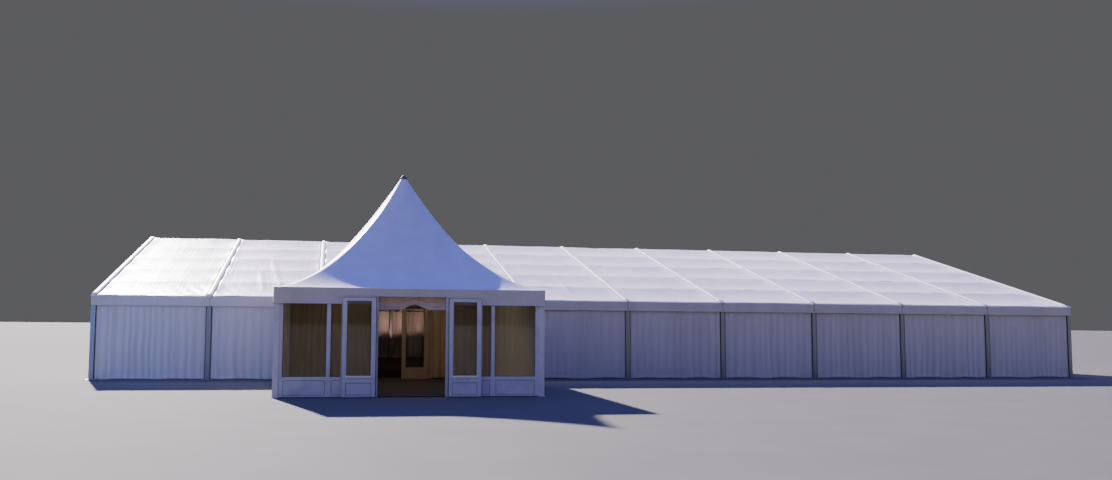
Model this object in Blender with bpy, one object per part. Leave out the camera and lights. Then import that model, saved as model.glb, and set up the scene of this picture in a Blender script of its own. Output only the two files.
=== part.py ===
"""A clearspan marquee tent with a pagoda-roofed entrance in front of its long side.

Metres, +Z up. +X runs along the tent, +Y from the entrance to the back wall. The origin
is on the ground, in the middle of the box around the whole object.
"""
import math

import bmesh
import bpy
from mathutils import Vector

# Main tent: bays along X, portal frames across Y
BAY = 3.0
BAYS = 10
SPAN = 15.0
EAVE_HEIGHT = 2.30
RIDGE_HEIGHT = 4.55
MEMBER_WIDTH = 0.12
LEG_DEPTH = 0.18
RAFTER_DEPTH = 0.18
BASE_PLATE_LENGTH = 0.30
BASE_PLATE_THICKNESS = 0.012
BASE_PLATE_INSIDE = 0.22
PURLIN = 0.06
PURLINS_PER_SLOPE = 4
GABLE_POSTS = 4
GABLE_POST_WIDTH = 0.10
GABLE_POST_OUTSIDE = 0.020

# Fabric
FABRIC = 0.010
ROOF_BELOW_RAFTER = 0.020
ROOF_SAG = 0.035
SAG_STEPS = 3
PURLIN_SEAT = 0.040
VALANCE_STANDOFF = 0.030
VALANCE_THICKNESS = 0.010
VALANCE_DEPTH = 0.30
VALANCE_LIP = 0.010
CURTAIN_RECESS = 0.020
CURTAIN_BELOW_EAVE = 0.19
RAIL_HEIGHT = 0.060
RAIL_DEPTH = 0.015

# Floors
FLOOR_THICKNESS = 0.020

# Pagoda entrance
PAGODA_WIDTH = 5.90
PAGODA_EAVE = 2.33
PAGODA_RISE = 2.99
PAGODA_CURVE = 1.5
PAGODA_ROUNDING = 1.2
PAGODA_FROM_END = 8.04
PAGODA_LEG = 0.12
PAGODA_PLATE = 0.15
PAGODA_BEAM = 0.10
PAGODA_BEAM_HEIGHT = 0.0927
PAGODA_BEAM_BELOW_FABRIC = 0.008
PAGODA_VALANCE_DEPTH = 0.34
PAGODA_VALANCE_OVER_DOOR = 0.17
PAGODA_FABRIC = 0.012
PAGODA_RINGS = 14
PAGODA_RING_SPREAD = 1.25
PAGODA_SIDE_STEPS = 8
PAGODA_TIP_RADIUS = 0.07
KING_POST_RADIUS = 0.040
KING_POST_FOOT = 0.10
STAY_RADIUS = 0.012
STAY_OFFSET = 0.015
CAP_HEIGHT = 0.10
CAP_RADIUS = 0.085
CAP_SIDES = 16
CAP_SHARES = ((1.0, 0.0), (1.0, 0.25), (0.6, 0.8), (0.2, 1.0))

# Doors: one kit, used for the entrance and for the inner doorway
LEAF_WIDTH = 0.741
LEAF_THICKNESS = 0.040
STILE = 0.100
TOP_RAIL = 0.075
SILL_RAIL_TOP = 0.415
SILL_RAIL = 0.110
BOTTOM_RAIL = 0.045
KICK_RECESS = 0.012
PANE = 0.008
HINGE_FROM_CENTRE = 0.760
HINGE_PROUD = 0.055
HINGE_TO_LEAF = 0.005
HINGE_TO_EDGE = 0.015
KNUCKLE_RADIUS = 0.009
KNUCKLE_LENGTH = 0.050
HINGE_FROM_FOOT = 0.20
HINGE_FROM_TOP = 0.28
BRACKET_FROM_AXIS = 0.002
BRACKET_WIDTH = 0.023
BRACKET_BEHIND_AXIS = 0.004
DOOR_CLEARANCE_BELOW = 0.010
DOOR_CLEARANCE_ABOVE = 0.025
JAMB_INNER_FACE = 0.735
JAMB_WIDTH = 0.080
JAMB_DEPTH = 0.080
HEAD_HEIGHT = 0.052

# Fixed glazed screen beside the entrance doors
SCREEN_RECESS = 0.020
SCREEN_DEPTH = 0.050
SCREEN_POST = 0.065
SCREEN_SILL_TOP = 0.42
SCREEN_SILL_RAIL = 0.060

# Inner doorway, and the soft furnishings round it
INNER_DOOR_FROM_END = 8.27
INNER_SILL_RAIL_TOP = 0.300
INNER_SILL_RAIL = 0.080
INNER_DOOR_BEFORE_WALL = 0.25
OPEN_OUTWARDS = math.pi / 2
DRAPE_THICKNESS = 0.060
SWAG_THICKNESS = 0.040
SWAG_DROP_SIDE = 0.290
SWAG_DROP_MIDDLE = 0.170
SWAG_PEAK_FROM_MIDDLE = 0.055
SWAG_PEAK_HALF = 0.32
SWAG_STEPS = 5

# Gap left between pieces that touch, and how far a cutter reaches past what it cuts
GAP = 0.0003
CUT_BEYOND = 0.10
ROD_SIDES = 12

# Places that follow from the sizes
DOOR_PROUD = HINGE_PROUD + HINGE_TO_LEAF + LEAF_THICKNESS - PAGODA_FABRIC - GAP
CURTAIN_FOOT = BASE_PLATE_THICKNESS + GAP
CURTAIN_TOP = EAVE_HEIGHT - CURTAIN_BELOW_EAVE
FRONT_Y = (GAP + PAGODA_WIDTH + DOOR_PROUD - SPAN) / 2
BACK_Y = FRONT_Y + SPAN
MIDDLE_Y = FRONT_Y + SPAN / 2
LENGTH = BAY * BAYS
LEFT_X = -LENGTH / 2
SLOPE = (RIDGE_HEIGHT - EAVE_HEIGHT) / (SPAN / 2)
TILT = math.atan(SLOPE)
PAGODA_X = LEFT_X + PAGODA_FROM_END
PAGODA_BACK_Y = FRONT_Y - VALANCE_STANDOFF - GAP
PAGODA_FRONT_Y = PAGODA_BACK_Y - PAGODA_WIDTH
PAGODA_Y = (PAGODA_FRONT_Y + PAGODA_BACK_Y) / 2
PAGODA_HALF = PAGODA_WIDTH / 2
PAGODA_LEG_FACE = PAGODA_HALF - PAGODA_FABRIC - GAP
PAGODA_BEAM_TOP = PAGODA_EAVE - PAGODA_FABRIC - PAGODA_BEAM_BELOW_FABRIC
PAGODA_BEAM_BOTTOM = PAGODA_BEAM_TOP - PAGODA_BEAM_HEIGHT
DOORWAY_TOP = PAGODA_BEAM_BOTTOM - GAP - HEAD_HEIGHT
LEAF_HEIGHT = DOORWAY_TOP - DOOR_CLEARANCE_BELOW - DOOR_CLEARANCE_ABOVE
HINGE_MIDDLE = (HINGE_FROM_FOOT + LEAF_HEIGHT - HINGE_FROM_TOP) / 2
HINGE_HEIGHTS = (HINGE_FROM_FOOT, HINGE_MIDDLE, LEAF_HEIGHT - HINGE_FROM_TOP)
INNER_DOOR_X = LEFT_X + INNER_DOOR_FROM_END
INNER_DOOR_Y = FRONT_Y - INNER_DOOR_BEFORE_WALL


def clear_scene():
    for old in list(bpy.data.objects):
        bpy.data.objects.remove(old, do_unlink=True)


def make_material(name, color, roughness, metallic=0.0, alpha=1.0):
    material = bpy.data.materials.new(name)
    material.use_nodes = True
    shader = material.node_tree.nodes["Principled BSDF"]
    shader.inputs["Base Color"].default_value = (*color, 1.0)
    shader.inputs["Roughness"].default_value = roughness
    shader.inputs["Metallic"].default_value = metallic
    shader.inputs["Alpha"].default_value = alpha
    material.diffuse_color = (*color, alpha)
    return material


# Plain shapes, as meshes

def mesh_from(bm):
    bmesh.ops.recalc_face_normals(bm, faces=bm.faces)
    mesh = bpy.data.meshes.new("shape")
    bm.to_mesh(mesh)
    bm.free()
    return mesh


def box(x0, x1, y0, y1, z0, z1):
    bm = bmesh.new()
    bmesh.ops.create_cube(bm, size=1.0)
    for vert in bm.verts:
        vert.co.x = x1 if vert.co.x > 0 else x0
        vert.co.y = y1 if vert.co.y > 0 else y0
        vert.co.z = z1 if vert.co.z > 0 else z0
    return mesh_from(bm)


def prism(points, start, end, axis):
    """Extrudes an outline along X or Y. The points are (y, z) for X and (x, z) for Y."""
    bm = bmesh.new()
    if axis == "X":
        verts = [bm.verts.new((start, a, z)) for a, z in points]
        move = Vector((end - start, 0, 0))
    else:
        verts = [bm.verts.new((a, start, z)) for a, z in points]
        move = Vector((0, end - start, 0))
    face = bm.faces.new(verts)
    grown = bmesh.ops.extrude_face_region(bm, geom=[face])
    moved = [item for item in grown["geom"] if isinstance(item, bmesh.types.BMVert)]
    bmesh.ops.translate(bm, verts=moved, vec=move)
    return mesh_from(bm)


def rod(start, end, radius):
    start = Vector(start)
    end = Vector(end)
    length = (end - start).length
    bm = bmesh.new()
    bmesh.ops.create_cone(
        bm, cap_ends=True, segments=ROD_SIDES, radius1=radius, radius2=radius, depth=length
    )
    turn = (end - start).to_track_quat("Z", "Y").to_matrix().to_4x4()
    bmesh.ops.transform(bm, matrix=turn, verts=bm.verts)
    bmesh.ops.translate(bm, verts=bm.verts, vec=(start + end) / 2)
    return mesh_from(bm)


# Nodes

def place(name, mesh, material, location=(0, 0, 0)):
    obj = bpy.data.objects.new(name, mesh)
    obj.location = location
    mesh.materials.clear()
    mesh.materials.append(material)
    bpy.context.scene.collection.objects.link(obj)
    return obj


def combine(shapes, operation="UNION"):
    """Joins the first shape with the others, or cuts them out of it, and gives one mesh."""
    collection = bpy.context.scene.collection
    base = bpy.data.objects.new("base", shapes[0])
    collection.objects.link(base)
    helpers = []
    for shape in shapes[1:]:
        helper = bpy.data.objects.new("helper", shape)
        collection.objects.link(helper)
        helpers.append(helper)
        modifier = base.modifiers.new("Boolean", "BOOLEAN")
        modifier.operation = operation
        modifier.object = helper
    graph = bpy.context.evaluated_depsgraph_get()
    result = bpy.data.meshes.new_from_object(base.evaluated_get(graph))
    for helper in [base, *helpers]:
        bpy.data.objects.remove(helper, do_unlink=True)
    return result


# Main tent: structure

def roof_line(y):
    """Height of the rafters' top at this place across the tent."""
    return RIDGE_HEIGHT - SLOPE * abs(y - MIDDLE_Y)


def frame_outline():
    drop = RAFTER_DEPTH / math.cos(TILT)
    inner_front = FRONT_Y + LEG_DEPTH
    inner_back = BACK_Y - LEG_DEPTH
    return [
        (FRONT_Y, 0),
        (FRONT_Y, EAVE_HEIGHT),
        (MIDDLE_Y, RIDGE_HEIGHT),
        (BACK_Y, EAVE_HEIGHT),
        (BACK_Y, 0),
        (inner_back, 0),
        (inner_back, roof_line(inner_back) - drop),
        (MIDDLE_Y, RIDGE_HEIGHT - drop),
        (inner_front, roof_line(inner_front) - drop),
        (inner_front, 0),
    ]


def purlin_top(y):
    return roof_line(y) - ROOF_BELOW_RAFTER - FABRIC / math.cos(TILT) - GAP


def sloping_purlin(y):
    """Section of a purlin on the slope, square to it, its top against the fabric."""
    side = -1 if y > MIDDLE_Y else 1
    along = Vector((math.cos(TILT), side * math.sin(TILT))) * PURLIN / 2
    down = Vector((side * math.sin(TILT), -math.cos(TILT))) * PURLIN
    top = Vector((y, purlin_top(y)))
    corners = (top - along, top + along, top + along + down, top - along + down)
    return [tuple(corner) for corner in corners]


def ridge_purlin():
    top = purlin_top(MIDDLE_Y + PURLIN / 2)
    low = MIDDLE_Y - PURLIN / 2
    high = MIDDLE_Y + PURLIN / 2
    return [(low, top), (high, top), (high, top - PURLIN), (low, top - PURLIN)]


def purlin_places():
    """Distances of the sloping purlins from the ridge, the eave purlin last."""
    run = SPAN / 2 - LEG_DEPTH / 2
    steps = PURLINS_PER_SLOPE + 1
    return [run * step / steps for step in range(1, steps + 1)]


def purlin_sections():
    sections = [ridge_purlin()]
    for distance in purlin_places():
        sections.append(sloping_purlin(MIDDLE_Y - distance))
        sections.append(sloping_purlin(MIDDLE_Y + distance))
    return sections


def gable_post_places():
    spacing = SPAN / (GABLE_POSTS + 1)
    return [FRONT_Y + spacing * (number + 1) for number in range(GABLE_POSTS)]


def gable_post(y, outward):
    """A post under an end rafter, set back so that the gable fabric passes outside it."""
    half = GABLE_POST_WIDTH / 2
    top = roof_line(abs(y - MIDDLE_Y) + half + MIDDLE_Y) - RAFTER_DEPTH / 2
    inside = -outward * MEMBER_WIDTH / 2
    outside = outward * GABLE_POST_OUTSIDE
    return box(min(inside, outside), max(inside, outside), y - half, y + half, 0, top)


def portal_frame(with_purlins, gable_side):
    half = MEMBER_WIDTH / 2
    shapes = [prism(frame_outline(), -half, half, "X")]
    plate_half = BASE_PLATE_LENGTH / 2
    feet = (
        (FRONT_Y - VALANCE_STANDOFF, FRONT_Y + BASE_PLATE_INSIDE),
        (BACK_Y - BASE_PLATE_INSIDE, BACK_Y + VALANCE_STANDOFF),
    )
    for low, high in feet:
        shapes.append(box(-plate_half, plate_half, low, high, 0, BASE_PLATE_THICKNESS))
    if with_purlins:
        for section in purlin_sections():
            shapes.append(prism(section, 0, BAY - half - GAP, "X"))
    if gable_side:
        for y in gable_post_places():
            shapes.append(gable_post(y, gable_side))
    return combine(shapes)


def build_frames(aluminium):
    first = portal_frame(True, -1)
    middle = portal_frame(True, 0)
    last = portal_frame(False, 1)
    for number in range(BAYS + 1):
        mesh = middle
        if number == 0:
            mesh = first
        elif number == BAYS:
            mesh = last
        place(f"portal_frame_{number + 1:02d}", mesh, aluminium, (LEFT_X + BAY * number, 0, 0))


# Main tent: fabric

def half_roof_profile():
    """Top of the roof fabric from the ridge outwards, as (distance from ridge, height)."""
    rests = [0.0] + purlin_places()
    slope_top = RIDGE_HEIGHT - ROOF_BELOW_RAFTER
    points = [(0.0, slope_top)]
    for near, far in zip(rests, rests[1:]):
        start = near + PURLIN_SEAT
        end = far - PURLIN_SEAT
        for step in range(SAG_STEPS + 1):
            share = step / SAG_STEPS
            distance = start + (end - start) * share
            sag = ROOF_SAG * 4 * share * (1 - share)
            points.append((distance, slope_top - SLOPE * distance - sag))
    edge = SPAN / 2 + VALANCE_STANDOFF - VALANCE_THICKNESS / 2
    points.append((edge, slope_top - SLOPE * edge))
    return points


def roof_section():
    half = half_roof_profile()
    thickness = FABRIC / math.cos(TILT)
    front = [(MIDDLE_Y - distance, z) for distance, z in reversed(half)]
    back = [(MIDDLE_Y + distance, z) for distance, z in half[1:]]
    top = front + back
    return top + [(y, z - thickness) for y, z in reversed(top)]


def roof_sheet(start_over, end_over):
    """One bay of roof with its two valances, which reach past the rafters at the tent's ends."""
    half = MEMBER_WIDTH / 2
    shapes = [prism(roof_section(), half + GAP, BAY - half - GAP, "X")]
    edge_top = roof_line(FRONT_Y - VALANCE_STANDOFF) - ROOF_BELOW_RAFTER + VALANCE_LIP
    low = GAP / 2 - start_over
    high = BAY - GAP / 2 + end_over
    front = FRONT_Y - VALANCE_STANDOFF
    back = BACK_Y + VALANCE_STANDOFF - VALANCE_THICKNESS
    for near in (front, back):
        far = near + VALANCE_THICKNESS
        shapes.append(box(low, high, near, far, EAVE_HEIGHT - VALANCE_DEPTH, edge_top))
    return combine(shapes)


def build_roof(pvc):
    over = MEMBER_WIDTH / 2
    first = roof_sheet(over, 0)
    middle = roof_sheet(0, 0)
    last = roof_sheet(0, over)
    for number in range(BAYS):
        mesh = middle
        if number == 0:
            mesh = first
        elif number == BAYS - 1:
            mesh = last
        place(f"roof_sheet_{number + 1:02d}", mesh, pvc, (LEFT_X + BAY * number, 0, 0))


def band(face, outward, near, far):
    """The lower and higher Y of a layer, measured outwards from a face."""
    return sorted((face + outward * near, face + outward * far))


def curtain_wall(first_bay, last_bay, outward, leg_face):
    """Curtains between the legs of some bays, hung from one rail outside the legs."""
    half = MEMBER_WIDTH / 2
    start = LEFT_X + BAY * first_bay + half + GAP
    end = LEFT_X + BAY * (last_bay + 1) - half - GAP
    rail = band(leg_face, outward, GAP, GAP + RAIL_DEPTH)
    hem = band(leg_face, outward, GAP + RAIL_DEPTH / 2, -CURTAIN_RECESS - FABRIC / 2)
    sheet = band(leg_face, outward, -CURTAIN_RECESS, -CURTAIN_RECESS - FABRIC)
    rail_foot = CURTAIN_TOP - RAIL_HEIGHT
    shapes = [box(start, end, *rail, rail_foot, CURTAIN_TOP)]
    for bay in range(first_bay, last_bay + 1):
        left = LEFT_X + BAY * bay + half + GAP
        right = LEFT_X + BAY * (bay + 1) - half - GAP
        shapes.append(box(left, right, *sheet, CURTAIN_FOOT, CURTAIN_TOP))
        shapes.append(box(left, right, *hem, rail_foot + RAIL_HEIGHT / 4, CURTAIN_TOP - RAIL_HEIGHT / 4))
    return combine(shapes)


def build_walls(pvc):
    door_bay = int(INNER_DOOR_FROM_END // BAY)
    place("front_wall_left", curtain_wall(0, door_bay - 1, -1, FRONT_Y), pvc)
    place("front_wall_right", curtain_wall(door_bay + 1, BAYS - 1, -1, FRONT_Y), pvc)
    half_way = BAYS // 2
    place("back_wall_left", curtain_wall(0, half_way - 1, 1, BACK_Y), pvc)
    place("back_wall_right", curtain_wall(half_way, BAYS - 1, 1, BACK_Y), pvc)


def gable_outline(bottom):
    """The opening under an end rafter, above this height."""
    low = FRONT_Y + LEG_DEPTH + GAP
    high = BACK_Y - LEG_DEPTH - GAP
    drop = RAFTER_DEPTH / math.cos(TILT) + 2 * GAP
    return [
        (low, bottom),
        (low, roof_line(low) - drop),
        (MIDDLE_Y, RIDGE_HEIGHT - drop),
        (high, roof_line(high) - drop),
        (high, bottom),
    ]


def build_gables(pvc):
    low = FRONT_Y + LEG_DEPTH + GAP
    high = BACK_Y - LEG_DEPTH - GAP
    for side, outward in (("left", -1), ("right", 1)):
        near = outward * (LENGTH / 2 + GABLE_POST_OUTSIDE + GAP)
        far = near + outward * FABRIC
        wall = box(min(near, far), max(near, far), low, high, CURTAIN_FOOT, CURTAIN_TOP - GAP)
        place(f"gable_wall_{side}", wall, pvc)
        triangle = prism(gable_outline(CURTAIN_TOP), min(near, far), max(near, far), "X")
        place(f"gable_triangle_{side}", triangle, pvc)


# Floors

def build_floors(carpet):
    half = MEMBER_WIDTH / 2
    main = box(
        LEFT_X + half + GAP,
        -LEFT_X - half - GAP,
        FRONT_Y + BASE_PLATE_INSIDE + GAP,
        BACK_Y - BASE_PLATE_INSIDE - GAP,
        0,
        FLOOR_THICKNESS,
    )
    place("main_floor", main, carpet)
    inside = PAGODA_LEG_FACE - PAGODA_LEG / 2 - PAGODA_PLATE / 2 - GAP
    strip = PAGODA_LEG_FACE - PAGODA_LEG
    back = FRONT_Y - VALANCE_STANDOFF - GAP
    door_bay = int(INNER_DOOR_FROM_END // BAY)
    tongue_left = LEFT_X + BAY * door_bay + BASE_PLATE_LENGTH / 2 + GAP
    tongue_right = LEFT_X + BAY * (door_bay + 1) - BASE_PLATE_LENGTH / 2 - GAP
    threshold = JAMB_INNER_FACE - GAP
    face = PAGODA_Y - PAGODA_LEG_FACE
    pagoda = combine([
        box(PAGODA_X - inside, PAGODA_X + inside, PAGODA_Y - strip, back, 0, FLOOR_THICKNESS),
        box(PAGODA_X - threshold, PAGODA_X + threshold, face, PAGODA_Y, 0, FLOOR_THICKNESS),
        box(tongue_left, tongue_right, PAGODA_Y, FRONT_Y + BASE_PLATE_INSIDE, 0, FLOOR_THICKNESS),
    ])
    place("pagoda_floor", pagoda, carpet)


# Pagoda

def pagoda_height(half_width):
    """Height of the membrane where its level line is this far from the middle."""
    return PAGODA_EAVE + PAGODA_RISE * (1 - half_width / PAGODA_HALF) ** PAGODA_CURVE


def pagoda_roundness(half_width):
    """How far a level line has turned from a square, at the eave, to a circle."""
    return (1 - half_width / PAGODA_HALF) ** PAGODA_ROUNDING


def pagoda_ring(half_width, roundness, height):
    """A level line of the membrane, its points evenly spread over the four sides."""
    points = []
    for side in range(4):
        turn = side * math.pi / 2
        for step in range(PAGODA_SIDE_STEPS):
            across = 2 * step / PAGODA_SIDE_STEPS - 1
            square = Vector((1.0, across))
            circle = Vector((math.cos(across * math.pi / 4), math.sin(across * math.pi / 4)))
            point = square.lerp(circle, roundness) * half_width
            x = point.x * math.cos(turn) - point.y * math.sin(turn)
            y = point.x * math.sin(turn) + point.y * math.cos(turn)
            points.append((x, y, height))
    return points


def pagoda_skin(offset):
    """Rings of the membrane from the tip down to the valance's foot, this far inside it."""
    half = PAGODA_HALF - offset
    rings = []
    for step in range(PAGODA_RINGS + 1):
        share = (step / PAGODA_RINGS) ** PAGODA_RING_SPREAD
        half_width = PAGODA_TIP_RADIUS + (PAGODA_HALF - PAGODA_TIP_RADIUS) * share
        height = pagoda_height(half_width)
        roundness = pagoda_roundness(half_width)
        rings.append(pagoda_ring(half_width - offset, roundness, height - offset * share))
    rings.append(pagoda_ring(half, 0.0, PAGODA_EAVE - PAGODA_VALANCE_DEPTH))
    return rings


def pagoda_roof():
    """The membrane as a closed shell: outer skin, inner skin, and the rims that join them."""
    bm = bmesh.new()
    skins = []
    for offset in (0, PAGODA_FABRIC):
        skins.append([[bm.verts.new(point) for point in ring] for ring in pagoda_skin(offset)])
    count = PAGODA_SIDE_STEPS * 4

    def bridge(ring_a, ring_b):
        for number in range(count):
            after = (number + 1) % count
            bm.faces.new((ring_a[number], ring_a[after], ring_b[after], ring_b[number]))

    for rings in skins:
        for upper, lower in zip(rings, rings[1:]):
            bridge(upper, lower)
    bridge(skins[0][0], skins[1][0])
    bridge(skins[0][-1], skins[1][-1])
    notch_half = JAMB_INNER_FACE + JAMB_WIDTH
    notch = box(
        -notch_half,
        notch_half,
        -PAGODA_HALF - PAGODA_FABRIC,
        -PAGODA_HALF + 2 * PAGODA_FABRIC,
        PAGODA_EAVE - 2 * PAGODA_VALANCE_DEPTH,
        PAGODA_EAVE - PAGODA_VALANCE_OVER_DOOR,
    )
    return combine([mesh_from(bm), notch], "DIFFERENCE")


def pagoda_frame():
    """Legs, base plates and eave beams, and the king post on its crossed stays."""
    face = PAGODA_LEG_FACE
    inner = face - PAGODA_LEG
    low, high = PAGODA_BEAM_BOTTOM, PAGODA_BEAM_TOP
    beam_inner = face - PAGODA_BEAM
    block = box(-face, face, -face, face, low, high)
    middle = box(-beam_inner, beam_inner, -beam_inner, beam_inner, low - CUT_BEYOND, high + CUT_BEYOND)
    shapes = [combine([block, middle], "DIFFERENCE")]
    plate_from = PAGODA_PLATE / 2
    for side_x in (-1, 1):
        for side_y in (-1, 1):
            xs = sorted((side_x * inner, side_x * face))
            ys = sorted((side_y * inner, side_y * face))
            shapes.append(box(*xs, *ys, 0, high))
            middle_x, middle_y = sum(xs) / 2, sum(ys) / 2
            shapes.append(box(
                middle_x - plate_from, middle_x + plate_from,
                middle_y - plate_from, middle_y + plate_from,
                0, BASE_PLATE_THICKNESS,
            ))
    level = (low + high) / 2
    reach = face - PAGODA_LEG / 2
    for turn, height in ((1, level + STAY_OFFSET), (-1, level - STAY_OFFSET)):
        start = (-reach, -reach * turn, height)
        end = (reach, reach * turn, height)
        shapes.append(rod(start, end, STAY_RADIUS))
    tip = pagoda_height(PAGODA_TIP_RADIUS) - PAGODA_FABRIC
    shapes.append(rod((0, 0, level - KING_POST_FOOT), (0, 0, tip), KING_POST_RADIUS))
    return combine(shapes)


def pagoda_cap():
    """Turned cap over the king post and the membrane's tip."""
    seat = pagoda_height(PAGODA_TIP_RADIUS)
    bm = bmesh.new()
    rings = []
    for radius_share, height_share in CAP_SHARES:
        radius = CAP_RADIUS * radius_share
        height = seat + GAP + (CAP_HEIGHT - GAP) * height_share
        ring = []
        for number in range(CAP_SIDES):
            angle = 2 * math.pi * number / CAP_SIDES
            ring.append(bm.verts.new((radius * math.cos(angle), radius * math.sin(angle), height)))
        rings.append(ring)
    bm.faces.new(rings[0])
    bm.faces.new(rings[-1])
    for lower, upper in zip(rings, rings[1:]):
        for number in range(CAP_SIDES):
            after = (number + 1) % CAP_SIDES
            bm.faces.new((lower[number], lower[after], upper[after], upper[number]))
    return mesh_from(bm)


def build_pagoda(pvc, aluminium, dark):
    centre = (PAGODA_X, PAGODA_Y, 0)
    place("pagoda_frame", pagoda_frame(), aluminium, centre)
    place("pagoda_roof", pagoda_roof(), pvc, centre)
    place("pagoda_cap", pagoda_cap(), dark, centre)
    inner = PAGODA_LEG_FACE - PAGODA_LEG - GAP
    for side, outward in (("left", -1), ("right", 1)):
        near = outward * (PAGODA_LEG_FACE - CURTAIN_RECESS)
        far = near - outward * FABRIC
        wall = box(
            min(near, far), max(near, far), -inner, inner, CURTAIN_FOOT, PAGODA_BEAM_BOTTOM - GAP
        )
        place(f"pagoda_wall_{side}", wall, pvc, centre)


# Doors

def leaf_mesh(direction, offset_y, sill_top, sill_rail):
    """A door leaf seen from its hinge axis at the origin, reaching along X in this direction."""
    edges = (direction * HINGE_TO_EDGE, direction * (HINGE_TO_EDGE + LEAF_WIDTH))
    left, right = min(edges), max(edges)
    back = offset_y
    front = offset_y + math.copysign(LEAF_THICKNESS, offset_y)
    y0, y1 = min(back, front), max(back, front)
    body = box(left, right, y0, y1, 0, LEAF_HEIGHT)
    before = y0 - CUT_BEYOND
    behind = y1 + CUT_BEYOND
    cutters = [box(left + STILE, right - STILE, before, behind, sill_top, LEAF_HEIGHT - TOP_RAIL)]
    kick_top = sill_top - sill_rail
    for low, high in ((before, y0 + KICK_RECESS), (y1 - KICK_RECESS, behind)):
        cutters.append(box(left + STILE, right - STILE, low, high, BOTTOM_RAIL, kick_top))
    shapes = [combine([body, *cutters], "DIFFERENCE")]
    tab_x = sorted((0.0, direction * (HINGE_TO_EDGE + KNUCKLE_RADIUS)))
    tab_y = sorted((0.0, offset_y + math.copysign(KNUCKLE_RADIUS / 2, offset_y)))
    for height in HINGE_HEIGHTS:
        low = height + KNUCKLE_LENGTH / 2 + GAP
        high = low + KNUCKLE_LENGTH
        shapes.append(rod((0, 0, low), (0, 0, high), KNUCKLE_RADIUS))
        shapes.append(box(*tab_x, *tab_y, low, high))
    return combine(shapes)


def pane_mesh(direction, offset_y, sill_top):
    left, right = sorted((
        direction * (HINGE_TO_EDGE + STILE + GAP), direction * (HINGE_TO_EDGE + LEAF_WIDTH - STILE - GAP)
    ))
    middle = offset_y + math.copysign(LEAF_THICKNESS / 2, offset_y)
    return box(
        left, right, middle - PANE / 2, middle + PANE / 2, sill_top + GAP, LEAF_HEIGHT - TOP_RAIL - GAP
    )


def hinge_brackets(centre_x, face_y, foot, side):
    """Plates and knuckles that carry a leaf, on the face of a jamb."""
    axis_x = centre_x + side * HINGE_FROM_CENTRE
    axis_y = face_y - HINGE_PROUD
    shapes = []
    for height in HINGE_HEIGHTS:
        low = foot + height - KNUCKLE_LENGTH / 2
        high = foot + height + KNUCKLE_LENGTH / 2
        near = axis_x + side * BRACKET_FROM_AXIS
        xs = sorted((near, near + side * BRACKET_WIDTH))
        shapes.append(box(*xs, axis_y + BRACKET_BEHIND_AXIS, face_y + JAMB_DEPTH / 2, low, high))
        shapes.append(rod((axis_x, axis_y, low), (axis_x, axis_y, high), KNUCKLE_RADIUS))
    return shapes


def portal_shapes(centre_x, face_y, foot, top, head_top):
    """Two jambs and a head, the jambs' faces towards the front carrying the hinges."""
    inner = JAMB_INNER_FACE
    outer = JAMB_INNER_FACE + JAMB_WIDTH
    back = face_y + JAMB_DEPTH
    shapes = []
    for side in (-1, 1):
        xs = sorted((centre_x + side * inner, centre_x + side * outer))
        shapes.append(box(*xs, face_y, back, foot, head_top))
        shapes += hinge_brackets(centre_x, face_y, foot + DOOR_CLEARANCE_BELOW, side)
    shapes.append(box(centre_x - outer, centre_x + outer, face_y, back, top, head_top))
    return shapes


def screen_side(side, face_y):
    """Fixed panels between a jamb and the corner leg: posts, rails and kick boards."""
    start = JAMB_INNER_FACE + JAMB_WIDTH / 2
    end = PAGODA_LEG_FACE - PAGODA_LEG - GAP
    xs = sorted((PAGODA_X + side * start, PAGODA_X + side * end))
    y0 = face_y + SCREEN_RECESS
    y1 = y0 + SCREEN_DEPTH
    top = DOORWAY_TOP + HEAD_HEIGHT
    body = box(*xs, y0, y1, CURTAIN_FOOT, top)
    span = end - start - JAMB_WIDTH / 2
    panel = (span - 2 * SCREEN_POST) / 2
    cutters = []
    for number in range(2):
        near = JAMB_INNER_FACE + JAMB_WIDTH + number * (panel + SCREEN_POST)
        far = near + panel
        hole = sorted((PAGODA_X + side * near, PAGODA_X + side * far))
        cutters.append(box(
            *hole, y0 - CUT_BEYOND, y1 + CUT_BEYOND, SCREEN_SILL_TOP, top - SCREEN_POST
        ))
        inset = SCREEN_POST / 2
        kick = sorted((PAGODA_X + side * (near + inset), PAGODA_X + side * (far - inset)))
        kick_top = SCREEN_SILL_TOP - SCREEN_SILL_RAIL
        cutters.append(box(*kick, y0 - CUT_BEYOND, y0 + KICK_RECESS, BOTTOM_RAIL, kick_top))
    return combine([body, *cutters], "DIFFERENCE")


def build_entrance(white, glass):
    face_y = PAGODA_Y - PAGODA_LEG_FACE
    head_top = DOORWAY_TOP + HEAD_HEIGHT
    shapes = portal_shapes(PAGODA_X, face_y, 0, DOORWAY_TOP, head_top)
    shapes += [screen_side(-1, face_y), screen_side(1, face_y)]
    place("entrance_screen", combine(shapes), white)
    pane_y = face_y + SCREEN_RECESS + SCREEN_DEPTH + GAP
    pane_top = head_top - SCREEN_POST / 2
    near = JAMB_INNER_FACE + JAMB_WIDTH + GAP
    far = PAGODA_LEG_FACE - PAGODA_LEG - GAP
    for side, outward in (("left", -1), ("right", 1)):
        xs = sorted((PAGODA_X + outward * near, PAGODA_X + outward * far))
        pane = box(*xs, pane_y, pane_y + PANE, SCREEN_SILL_TOP - SCREEN_SILL_RAIL, pane_top)
        place(f"screen_glass_{side}", pane, glass)


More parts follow.
